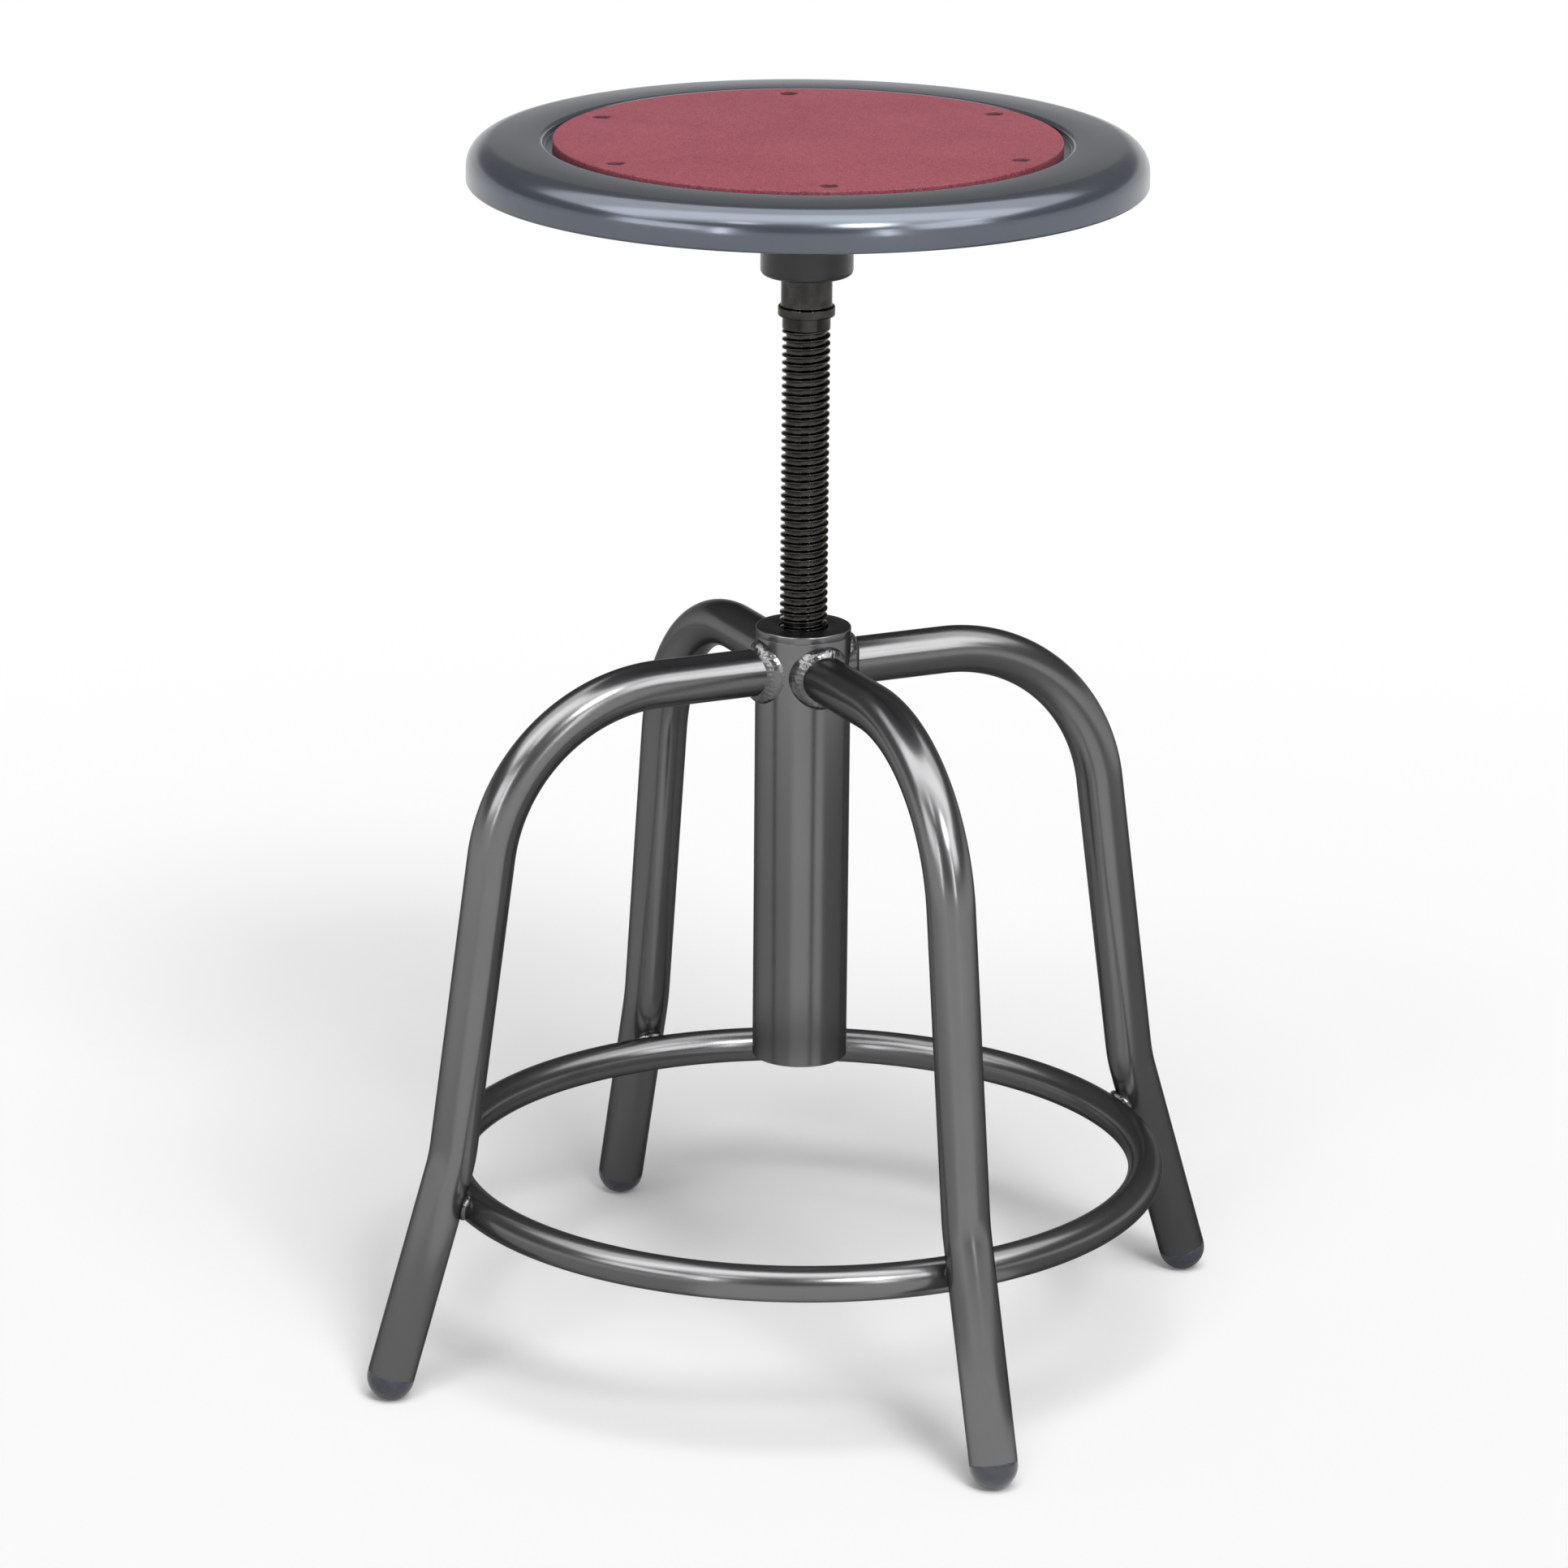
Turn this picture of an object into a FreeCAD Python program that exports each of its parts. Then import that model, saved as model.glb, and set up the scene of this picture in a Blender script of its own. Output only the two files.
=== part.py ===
import FreeCAD
import Part
import itertools
import math
import os
import Sketcher

Vector = FreeCAD.Vector
UP = Vector(0, 0, 1)

doc = FreeCAD.newDocument("machinist_stool")
sheet = doc.addObject("Spreadsheet::Sheet", "sizes")
rows = itertools.count(1)
pieces = []


# A size is a number together with the sheet formula that gives it
class Size:
    def __init__(self, number, formula):
        self.number = float(number)
        self.formula = formula

    def joined(self, other, sign, work):
        other = as_size(other)
        return Size(work(self.number, other.number), "(%s %s %s)" % (self.formula, sign, other.formula))

    def __add__(self, other):
        return self.joined(other, "+", lambda a, b: a + b)

    def __sub__(self, other):
        return self.joined(other, "-", lambda a, b: a - b)

    def __mul__(self, other):
        return self.joined(other, "*", lambda a, b: a * b)

    def __truediv__(self, other):
        return self.joined(other, "/", lambda a, b: a / b)


def as_size(value):
    if isinstance(value, Size):
        return value
    return Size(value, repr(float(value)))


def size(name, number):
    row = next(rows)
    sheet.set("A%d" % row, name)
    sheet.set("B%d" % row, str(number))
    sheet.setAlias("B%d" % row, name)
    return Size(number, "sizes." + name)


# A worked-out size gets its own row, so that other formulas stay short
def worked(name, value):
    row = next(rows)
    sheet.set("A%d" % row, name)
    sheet.set("B%d" % row, "=" + value.formula.replace("sizes.", ""))
    sheet.setAlias("B%d" % row, name)
    return Size(value.number, "sizes." + name)


def sine(angle):
    return Size(math.sin(math.radians(angle.number)), "sin(%s)" % angle.formula)


def cosine(angle):
    return Size(math.cos(math.radians(angle.number)), "cos(%s)" % angle.formula)


def tangent(angle):
    return Size(math.tan(math.radians(angle.number)), "tan(%s)" % angle.formula)


def whole_down(value):
    return Size(math.floor(value.number), "floor(%s)" % value.formula)


ZERO = as_size(0.0)

# Column: one steel tube with a threaded plug in its top
column_bottom = size("column_bottom_height", 161.5)
column_length = size("column_length", 240.0)
column_radius = size("column_radius", 25.4)
column_wall = size("column_wall", 2.5)
nut_rim_thickness = size("nut_rim_thickness", 4.0)
nut_height = size("nut_height", 30.0)
nut_mouth_depth = size("nut_mouth_depth", 7.6)
nut_mouth_gap = size("nut_mouth_gap", 0.55)
nut_edge = size("nut_edge", 0.8)
column_edge = size("column_edge", 0.8)

# Screw thread
thread_radius = size("thread_radius", 12.7)
thread_pitch = size("thread_pitch", 4.2333)
thread_depth = size("thread_depth", 2.12)
thread_crest = size("thread_crest_width", 0.8)
thread_flank = size("thread_flank_angle", 14.5)
thread_clearance = size("thread_clearance", 0.3)
thread_overlap = size("thread_ridge_sunk_in_core", 0.4)

# Screw rod, upwards from the nut
screw_reach = size("collar_height_over_column", 168.5)
screw_rise = size("screw_travel_up", 17.0)
shank_length = size("shank_length", 7.0)
shank_over_thread = size("shank_over_thread_radius", 0.05)
collar_radius = size("collar_radius", 15.1)
collar_thickness = size("collar_thickness", 5.4)
neck_radius = size("neck_radius", 13.5)
neck_shown = size("neck_length_below_hub", 16.4)
neck_hidden = size("neck_length_in_hub", 16.2)
spindle_radius = size("spindle_radius", 10.0)
rod_edge = size("rod_edge", 0.6)
stop_hole_depth = size("stop_hole_depth", 24.0)

# Guide disc and its bolt on the screw's lower end
disc_thickness = size("disc_thickness", 8.0)
disc_gap = size("disc_gap_in_column", 0.1)
stop_washer_radius = size("stop_washer_radius", 15.0)
stop_washer_thickness = size("stop_washer_thickness", 2.0)
stop_bolt_radius = size("stop_bolt_radius", 5.0)
stop_bolt_length = size("stop_bolt_length", 30.0)
stop_head_across = size("stop_head_across_flats", 17.0)
stop_head_height = size("stop_head_height", 6.4)
bolt_gap = size("bolt_hole_gap", 0.3)

# Legs
leg_radius = size("leg_radius", 12.7)
leg_wall = size("leg_wall", 1.8)
leg_drop = size("leg_drop_below_column_top", 22.9)
leg_start = size("leg_straight_from_axis", 83.4)
leg_bend = size("leg_bend_radius", 97.5)
leg_lean = size("leg_upper_lean", 8.0)
leg_splay = size("leg_lower_splay", 17.0)
kink_height = size("kink_height", 130.6)
kink_radius = size("kink_radius", 100.0)
leg_azimuth = size("first_leg_azimuth", 45.0)

# Glides
glide_radius = size("glide_dome_radius", 12.7)
glide_rim = size("glide_rim_thickness", 1.0)
glide_flat = size("glide_flat_depth", 0.4)
glide_stem = size("glide_stem_length", 16.0)
glide_stem_edge = size("glide_stem_edge", 1.0)

# Foot ring and welds
ring_height = size("ring_height", 100.5)
ring_tube = size("ring_tube_radius", 9.525)
ring_wall = size("ring_wall", 1.6)
ring_gap = size("ring_weld_gap", 0.2)
ring_weld = size("ring_weld_radius", 9.5)
column_weld = size("column_weld_size", 4.6)
column_weld_reach = size("column_weld_reach", 5.6)

# Thrust bearing
ball_radius = size("ball_radius", 2.75)
ball_gap = size("ball_gap", 0.05)
ball_circle = size("ball_circle_radius", 13.8)
ball_count = size("ball_count", 12)
race_thickness = size("race_thickness", 2.6)
bearing_height = size("bearing_height", 10.0)
race_gap = size("race_side_gap", 0.4)
upper_race_bore_gap = size("upper_race_bore_gap", 0.6)
cage_thickness = size("cage_thickness", 3.4)
cage_width = size("cage_half_width", 3.1)
cage_gap = size("cage_pocket_gap", 0.1)

# Hub
hub_radius = size("hub_radius", 24.4)
hub_edge = size("hub_edge_radius", 3.0)
hub_bore = size("hub_bearing_bore_radius", 17.6)
bushing_wall = size("bushing_wall", 3.0)
bushing_gap = size("bushing_running_gap", 0.05)
bushing_length = size("bushing_length", 28.0)
bushing_back = size("bushing_clear_of_race", 0.5)
bushing_flange = size("bushing_flange_width", 5.0)
bushing_flange_thickness = size("bushing_flange_thickness", 3.0)
hub_mouth_gap = size("hub_top_bore_gap", 1.0)
hub_top_room = size("hub_length_over_bushing_flange", 4.8)
seal_thickness = size("seal_thickness", 4.5)
seal_inset = size("seal_inset", 0.5)
seal_gap = size("seal_gap", 0.1)
thrust_washer_thickness = size("thrust_washer_thickness", 1.5)
snap_thickness = size("retaining_ring_thickness", 1.2)
snap_groove = size("retaining_groove_depth", 1.0)
snap_width = size("retaining_ring_width", 3.5)
snap_gap = size("retaining_ring_gap", 0.1)
snap_opening = size("retaining_ring_opening", 7.0)
spindle_end = size("spindle_length_over_ring", 1.9)
hub_weld = size("hub_weld_size", 5.0)

# Seat plate and its studs
plate_side = size("plate_side", 130.0)
plate_thickness = size("plate_thickness", 4.0)
plate_corner = size("plate_corner_radius", 15.0)
plate_bore = size("plate_bore_radius", 17.0)
stud_offset = size("stud_offset", 50.0)
stud_radius = size("stud_radius", 4.0)
stud_length = size("stud_length", 14.0)
stud_gap = size("stud_hole_gap", 0.3)
stud_washer_radius = size("stud_washer_radius", 8.0)
stud_washer_thickness = size("stud_washer_thickness", 1.6)
stud_nut_across = size("stud_nut_across_flats", 13.0)
stud_nut_height = size("stud_nut_height", 6.5)

# Seat pan
pan_radius = size("pan_radius", 177.8)
pan_depth = size("pan_depth", 22.0)
pan_wall = size("pan_wall", 1.5)
pan_shoulder = size("pan_shoulder_radius", 13.5)
pan_hem = size("pan_hem_height", 5.0)
recess_radius = size("recess_radius", 137.4)
recess_depth = size("recess_depth", 4.0)
recess_bend = size("recess_bend_radius", 2.4)

# Hardboard panel and its rivets
panel_gap = size("panel_gap", 4.6)
panel_thickness = size("panel_thickness", 4.8)
panel_edge = size("panel_edge_radius", 0.9)
rivet_circle = size("rivet_circle_radius", 120.0)
rivet_start = size("first_rivet_azimuth", 54.7)
rivet_count = size("rivet_count", 6)
rivet_radius = size("rivet_radius", 2.4)
rivet_head = size("rivet_head_radius", 4.8)
rivet_head_height = size("rivet_head_height", 2.0)
rivet_inset = size("rivet_inset", 0.5)
rivet_dish = size("rivet_dish_depth", 0.5)
rivet_hole_gap = size("rivet_hole_gap", 0.15)
rivet_tail = size("rivet_tail_radius", 4.0)
rivet_tail_height = size("rivet_tail_height", 2.2)
rivet_washer_radius = size("rivet_washer_radius", 6.0)
rivet_washer_thickness = size("rivet_washer_thickness", 1.2)

# Heights and radii that follow from the sizes above
column_top = worked("column_top", column_bottom + column_length)
column_bore = worked("column_bore", column_radius - column_wall)
tube_top = worked("tube_top", column_top - nut_rim_thickness)
nut_bottom = worked("nut_bottom", column_top - nut_height)
nut_mouth = worked("nut_mouth_radius", thread_radius + nut_mouth_gap)
thread_root = worked("thread_root_radius", thread_radius - thread_depth)
collar_bottom = worked("collar_bottom", column_top + screw_reach)
collar_top = worked("collar_top", collar_bottom + collar_thickness)
hub_bottom = worked("hub_bottom", collar_top + neck_shown)
neck_top = worked("neck_top", hub_bottom + neck_hidden)
shank_radius = worked("shank_radius", thread_radius + shank_over_thread)
shank_bottom = worked("shank_bottom", collar_bottom - shank_length)
screw_bottom = worked("screw_bottom", nut_bottom - screw_rise)
race_top = worked("race_top", neck_top + bearing_height)
ball_height = worked("ball_height", neck_top + bearing_height / 2)
bushing_top = worked("bushing_top", race_top + bushing_length)
flange_top = worked("bushing_flange_top", bushing_top + bushing_flange_thickness)
hub_top = worked("hub_top", flange_top + hub_top_room)
washer_top = worked("thrust_washer_top", flange_top + thrust_washer_thickness)
snap_bottom = worked("retaining_ring_bottom", washer_top + snap_gap)
snap_top = worked("retaining_ring_top", snap_bottom + snap_thickness)
spindle_top = worked("spindle_top", snap_top + spindle_end)
bushing_bore = worked("bushing_bore_radius", spindle_radius + bushing_gap)
bushing_outer = worked("bushing_outer_radius", bushing_bore + bushing_wall)
flange_radius = worked("bushing_flange_radius", bushing_bore + bushing_flange)
plate_top = worked("plate_top", hub_top + plate_thickness)
pan_floor = worked("pan_floor_top", plate_top + pan_wall)
pan_top = worked("pan_top", pan_floor + recess_depth)
skirt_bottom = worked("skirt_bottom", pan_top - pan_depth)
panel_radius = worked("panel_radius", recess_radius - panel_gap)
panel_top = worked("panel_top", pan_floor + panel_thickness)
disc_bottom = worked("disc_bottom", screw_bottom - disc_thickness)
stop_washer_bottom = worked("stop_washer_bottom", disc_bottom - stop_washer_thickness)

# Leg path in the leg's own upright plane: radius from the axis and height
leg_height = worked("leg_height", column_top - leg_drop)
bend_end_x = worked("bend_end_x", leg_start + leg_bend * cosine(leg_lean))
bend_end_z = worked("bend_end_z", leg_height - leg_bend * (as_size(1.0) - sine(leg_lean)))
kink_x = worked("kink_x", bend_end_x + (bend_end_z - kink_height) * tangent(leg_lean))
kink_reach = worked("kink_reach", kink_radius * tangent((leg_splay - leg_lean) / 2))
foot_height = worked("foot_height", glide_radius - glide_flat)
foot_x = worked("foot_x", kink_x + (kink_height - foot_height) * tangent(leg_splay))
leg_end_x = worked("leg_end_x", foot_x - glide_rim * sine(leg_splay))
leg_end_z = worked("leg_end_z", foot_height + glide_rim * cosine(leg_splay))
leg_at_ring = worked("leg_at_ring_x", kink_x + (kink_height - ring_height) * tangent(leg_splay))
ring_centre = worked("ring_centre_radius", leg_at_ring - (leg_radius + ring_tube + ring_gap) / cosine(leg_splay))

doc.recompute()


def origin_plane(body, role):
    return [item for item in body.Origin.OriginFeatures if item.Role == role][0]


def new_body(label):
    body = doc.addObject("PartDesign::Body", label)
    body.Label = label
    pieces.append(body)
    return body


# A sketch on one of the body's own planes, moved off it or turned in it where asked
def new_sketch(body, role, name, shift=(ZERO, ZERO, ZERO), turn=ZERO):
    sketch = body.newObject("Sketcher::SketchObject", body.Name + "_" + name)
    sketch.AttachmentSupport = (origin_plane(body, role), [""])
    sketch.MapMode = "FlatFace"
    place = Vector(shift[0].number, shift[1].number, shift[2].number)
    sketch.AttachmentOffset = FreeCAD.Placement(place, FreeCAD.Rotation(UP, turn.number))
    for axis, value in zip("xyz", shift):
        if value is not ZERO:
            sketch.setExpression("AttachmentOffset.Base." + axis, value.formula)
    if turn is not ZERO:
        sketch.setExpression("AttachmentOffset.Rotation.Angle", turn.formula)
    return sketch


def hold(sketch, kind, parts, value):
    index = sketch.addConstraint(Sketcher.Constraint(kind, *parts, value.number))
    sketch.setExpression("Constraints[%d]" % index, value.formula)


def hold_point(sketch, geometry, end, x, y):
    for kind, axis, value in (("DistanceX", -2, x), ("DistanceY", -1, y)):
        if value is ZERO:
            sketch.addConstraint(Sketcher.Constraint("PointOnObject", geometry, end, axis))
        else:
            hold(sketch, kind, (-1, 1, geometry, end), value)


def circle(sketch, x, y, radius):
    centre = Vector(x.number, y.number, 0)
    index = sketch.addGeometry(Part.Circle(centre, UP, radius.number), False)
    hold_point(sketch, index, 3, x, y)
    hold(sketch, "Radius", (index,), radius)


# A corner is (x, y), or (x, y, (centre x, centre y, radius)) where an arc leaves it
def outline(sketch, corners, closed=True):
    ends = []
    count = len(corners) if closed else len(corners) - 1
    for number in range(count):
        here = corners[number]
        there = corners[(number + 1) % len(corners)]
        start = Vector(here[0].number, here[1].number, 0)
        stop = Vector(there[0].number, there[1].number, 0)
        if len(here) == 2:
            index = sketch.addGeometry(Part.LineSegment(start, stop), False)
            ends.append((index, 1, 2))
            continue
        middle = Vector(here[2][0].number, here[2][1].number, 0)
        first = math.atan2(start.y - middle.y, start.x - middle.x)
        last = math.atan2(stop.y - middle.y, stop.x - middle.x)
        forward = (last - first) % (2 * math.pi) <= math.pi
        span = (first, last) if forward else (last, first)
        ring = Part.Circle(middle, UP, here[2][2].number)
        index = sketch.addGeometry(Part.ArcOfCircle(ring, *span), False)
        hold(sketch, "Radius", (index,), here[2][2])
        ends.append((index, 1, 2) if forward else (index, 2, 1))
    for number, (index, start, stop) in enumerate(ends):
        hold_point(sketch, index, start, corners[number][0], corners[number][1])
        if number + 1 < len(ends) or closed:
            after = ends[(number + 1) % len(ends)]
            sketch.addConstraint(Sketcher.Constraint("Coincident", index, stop, after[0], after[1]))
    if not closed:
        hold_point(sketch, ends[-1][0], ends[-1][2], corners[-1][0], corners[-1][1])


def add_feature(body, kind, name, sketch):
    feature = body.newObject("PartDesign::" + kind, body.Name + "_" + name)
    feature.Profile = sketch
    sketch.Visibility = False
    return feature


def turned(body, name, corners, kind="Revolution"):
    sketch = new_sketch(body, "XZ_Plane", name + "_outline")
    outline(sketch, corners)
    feature = add_feature(body, kind, name, sketch)
    feature.ReferenceAxis = (sketch, ["V_Axis"])
    feature.Angle = 360.0
    return feature


def ring_corners(inner, outer, low, high):
    return [(inner, low), (outer, low), (outer, high), (inner, high)]


def washer(label, inner, outer, low, high):
    body = new_body(label)
    turned(body, "ring", ring_corners(inner, outer, low, high))
    return body


def pad(body, name, sketch, length):
    feature = add_feature(body, "Pad", name, sketch)
    feature.Length = length.number
    feature.setExpression("Length", length.formula)
    return feature


# Cuts through everything on both sides of the sketch
def cut_through(body, name, sketch):
    feature = add_feature(body, "Pocket", name, sketch)
    feature.Type = "ThroughAll"
    feature.Midplane = True
    return feature


def around(body, feature, name, count):
    pattern = body.newObject("PartDesign::PolarPattern", body.Name + "_" + name)
    pattern.Originals = [feature]
    pattern.Axis = (origin_plane(body, "Z_Axis"), [""])
    pattern.Angle = 360.0
    pattern.Occurrences = int(count.number)
    pattern.setExpression("Occurrences", count.formula)
    body.Tip = pattern
    return pattern


def turn_about_z(item, angle):
    item.Placement = FreeCAD.Placement(Vector(0, 0, 0), FreeCAD.Rotation(UP, angle.number))
    item.setExpression("Placement.Rotation.Angle", angle.formula)


# A helical ridge or groove whose outline is symmetric about its starting height
def helix(body, kind, start, length, root, crest, root_half, crest_half):
    sketch = new_sketch(body, "XZ_Plane", "thread_outline")
    outline(sketch, [
        (root, start - root_half),
        (crest, start - crest_half),
        (crest, start + crest_half),
        (root, start + root_half),
    ])
    feature = add_feature(body, kind, "thread", sketch)
    feature.ReferenceAxis = (sketch, ["V_Axis"])
    feature.Mode = "pitch-height-angle"
    feature.Pitch = thread_pitch.number
    feature.Height = length.number
    feature.setExpression("Pitch", thread_pitch.formula)
    feature.setExpression("Height", length.formula)
    feature.Angle = 0.0
    feature.LeftHanded = False
    feature.Reversed = False
    return feature


# Column tube with a small outer edge at its open lower end
tube = new_body("column_tube")
turned(tube, "wall", [
    (column_bore, column_bottom),
    (column_radius - column_edge, column_bottom),
    (column_radius, column_bottom + column_edge),
    (column_radius, tube_top),
    (column_bore, tube_top),
])

# The ridge of the screw starts a little above the rod's lower end
crest_half = thread_crest / 2
ridge_slope = tangent(thread_flank)
ridge_root = worked("ridge_inner_radius", thread_root - thread_overlap)
ridge_root_half = worked("ridge_root_half", crest_half + (thread_radius - ridge_root) * ridge_slope)
ridge_start = worked("ridge_start", screw_bottom + ridge_root_half + thread_clearance)
ridge_end = worked("ridge_end", shank_bottom + shank_length / 2)

# The groove of the nut lies whole turns above the ridge's start, so the two are in mesh
groove_base = worked("groove_base", nut_bottom - thread_pitch * 1.5)
groove_turns = whole_down((groove_base - ridge_start) / thread_pitch)
groove_start = worked("groove_start", ridge_start + thread_pitch * groove_turns)
groove_end = worked("groove_end", column_top - nut_mouth_depth / 2)
nut_bore = worked("nut_bore_radius", thread_root + thread_clearance)
groove_crest = worked("groove_radius", thread_radius + thread_clearance)
groove_crest_half = worked("groove_crest_half", crest_half + thread_clearance)
groove_inner = worked("groove_inner_radius", nut_bore - thread_overlap)
groove_inner_half = worked("groove_inner_half", groove_crest_half + (groove_crest - groove_inner) * ridge_slope)

nut = new_body("column_nut")
turned(nut, "plug", [
    (nut_bore, nut_bottom),
    (column_bore, nut_bottom),
    (column_bore, tube_top),
    (column_radius, tube_top),
    (column_radius, column_top - nut_edge),
    (column_radius - nut_edge, column_top),
    (nut_mouth, column_top),
    (nut_mouth, column_top - nut_mouth_depth),
    (nut_bore, column_top - nut_mouth_depth),
])
helix(nut, "SubtractiveHelix", groove_start, groove_end - groove_start,
      groove_inner, groove_crest, groove_inner_half, groove_crest_half)

# Screw rod: threaded core, shank, collar, neck and spindle with its ring groove
snap_root = worked("retaining_groove_radius", spindle_radius - snap_groove)
rod = new_body("lift_screw")
turned(rod, "core", [
    (ZERO, screw_bottom + stop_hole_depth),
    (stop_bolt_radius, screw_bottom + stop_hole_depth),
    (stop_bolt_radius, screw_bottom),
    (thread_root, screw_bottom),
    (thread_root, shank_bottom),
    (shank_radius, shank_bottom),
    (shank_radius, collar_bottom),
    (collar_radius - rod_edge, collar_bottom),
    (collar_radius, collar_bottom + rod_edge),
    (collar_radius, collar_top - rod_edge),
    (collar_radius - rod_edge, collar_top),
    (neck_radius, collar_top),
    (neck_radius, neck_top - rod_edge),
    (neck_radius - rod_edge, neck_top),
    (spindle_radius, neck_top),
    (spindle_radius, snap_bottom),
    (snap_root, snap_bottom),
    (snap_root, snap_top),
    (spindle_radius, snap_top),
    (spindle_radius, spindle_top - rod_edge),
    (spindle_radius - rod_edge, spindle_top),
    (ZERO, spindle_top),
])
helix(rod, "AdditiveHelix", ridge_start, ridge_end - ridge_start,
      ridge_root, thread_radius, ridge_root_half, crest_half)

# Guide disc, washer and bolt on the rod's lower end
washer("guide_disc", stop_bolt_radius + bolt_gap, column_bore - disc_gap, disc_bottom, screw_bottom)
washer("stop_washer", stop_bolt_radius + bolt_gap, stop_washer_radius, stop_washer_bottom, disc_bottom)


def hexagon(sketch, across, x=ZERO, y=ZERO):
    corner = across / (cosine(as_size(30.0)) * 2)
    outline(sketch, [
        (x + corner * cosine(as_size(60.0 * step)), y + corner * sine(as_size(60.0 * step)))
        for step in range(6)
    ])


bolt = new_body("stop_bolt")
head_sketch = new_sketch(bolt, "XY_Plane", "head_outline", (ZERO, ZERO, stop_washer_bottom - stop_head_height))
hexagon(head_sketch, stop_head_across)
pad(bolt, "head", head_sketch, stop_head_height)
shank_sketch = new_sketch(bolt, "XY_Plane", "shank_outline", (ZERO, ZERO, stop_washer_bottom - stop_head_height / 2))
circle(shank_sketch, ZERO, ZERO, stop_bolt_radius)
pad(bolt, "shank", shank_sketch, stop_bolt_length + stop_head_height / 2)

# Legs: one tube each, bent twice, with its inner end shaped to the column
kink_top_x = kink_x - kink_reach * sine(leg_lean)
kink_top_z = kink_height + kink_reach * cosine(leg_lean)
kink_low_x = kink_x + kink_reach * sine(leg_splay)
kink_low_z = kink_height - kink_reach * cosine(leg_splay)
kink_centre = (kink_top_x + kink_radius * cosine(leg_lean), kink_top_z + kink_radius * sine(leg_lean))

corner_names = ["rear_right", "rear_left", "front_left", "front_right"]
for number, corner_name in enumerate(corner_names):
    leg = new_body("leg_" + corner_name)
    route = new_sketch(leg, "XZ_Plane", "route")
    outline(route, [
        (ZERO, leg_height),
        (leg_start, leg_height, (leg_start, leg_height - leg_bend, leg_bend)),
        (bend_end_x, bend_end_z),
        (kink_top_x, kink_top_z, (kink_centre[0], kink_centre[1], kink_radius)),
        (kink_low_x, kink_low_z),
        (leg_end_x, leg_end_z),
    ], closed=False)
    section = new_sketch(leg, "YZ_Plane", "section")
    circle(section, ZERO, leg_height, leg_radius)
    circle(section, ZERO, leg_height, leg_radius - leg_wall)
    pipe = add_feature(leg, "AdditivePipe", "tube", section)
    pipe.Spine = (route, [])
    route.Visibility = False
    doc.recompute()
    notch = new_sketch(leg, "XY_Plane", "notch_outline")
    circle(notch, ZERO, ZERO, column_radius)
    cut_through(leg, "notch", notch)
    turn_about_z(leg, leg_azimuth + as_size(90.0 * number))

    # The glide's own axis is the lower straight of the leg
    glide = new_body("glide_" + corner_name)
    stem_radius = leg_radius - leg_wall
    profile = new_sketch(glide, "XZ_Plane", "outline", (foot_x, foot_height, ZERO), leg_splay)
    outline(profile, [
        (ZERO, ZERO - glide_radius),
        (ZERO, glide_rim + glide_stem),
        (stem_radius - glide_stem_edge, glide_rim + glide_stem),
        (stem_radius, glide_rim + glide_stem - glide_stem_edge),
        (stem_radius, glide_rim),
        (glide_radius, glide_rim),
        (glide_radius, ZERO, (ZERO, ZERO, glide_radius)),
    ])
    dome = add_feature(glide, "Revolution", "dome", profile)
    dome.ReferenceAxis = (profile, ["V_Axis"])
    dome.Angle = 360.0
    doc.recompute()
    flat = new_sketch(glide, "XY_Plane", "flat_outline")
    circle(flat, foot_x, ZERO, glide_radius)
    floor_cut = add_feature(glide, "Pocket", "flat", flat)
    floor_cut.Length = glide_radius.number
    floor_cut.setExpression("Length", glide_radius.formula)
    turn_about_z(glide, leg_azimuth + as_size(90.0 * number))

# Foot ring: a closed hoop of tube
hoop = new_body("foot_ring")
hoop_section = new_sketch(hoop, "XZ_Plane", "section")
circle(hoop_section, ring_centre, ring_height, ring_tube)
circle(hoop_section, ring_centre, ring_height, ring_tube - ring_wall)
hoop_tube = add_feature(hoop, "Revolution", "tube", hoop_section)
hoop_tube.ReferenceAxis = (hoop_section, ["V_Axis"])
hoop_tube.Angle = 360.0


def primitive(kind, name, **sizes):
    item = doc.addObject("Part::" + kind, name)
    for key, value in sizes.items():
        setattr(item, key, value.number)
        item.setExpression(key, value.formula)
    return item


def move(item, x, y, z, rotation=FreeCAD.Rotation()):
    item.Placement = FreeCAD.Placement(Vector(x.number, y.number, z.number), rotation)
    for axis, value in zip("xyz", (x, y, z)):
        item.setExpression("Placement.Base." + axis, value.formula)


def difference(name, base, tool):
    item = doc.addObject("Part::Cut", name)
    item.Base = base
    item.Tool = tool
    return item


def group(label, members):
    item = doc.addObject("Part::Compound", label)
    item.Label = label
    item.Links = members
    pieces.append(item)
    return item


# Column welds: a rounded sleeve around each leg, shaped to the column and the leg
column_welds = []
for number in range(4):
    azimuth = leg_azimuth + as_size(90.0 * number)
    weld = doc.addObject("PartDesign::Body", "column_weld_body_%d" % (number + 1))
    weld_sketch = new_sketch(weld, "XZ_Plane", "outline", (ZERO, leg_height, ZERO))
    weld_outer = leg_radius + column_weld
    weld_end = column_radius + column_weld_reach
    outline(weld_sketch, [
        (column_radius / 2, leg_radius),
        (weld_end, leg_radius, (weld_end - column_weld, leg_radius, column_weld)),
        (weld_end - column_weld, weld_outer),
        (column_radius / 2, weld_outer),
    ])
    bead = add_feature(weld, "Revolution", "bead", weld_sketch)
    bead.ReferenceAxis = (weld_sketch, ["H_Axis"])
    bead.Angle = 360.0
    doc.recompute()
    bead_notch = new_sketch(weld, "XY_Plane", "notch_outline")
    circle(bead_notch, ZERO, ZERO, column_radius)
    cut_through(weld, "notch", bead_notch)
    turn_about_z(weld, azimuth)
    column_welds.append(weld)
group("column_leg_welds", column_welds)

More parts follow.
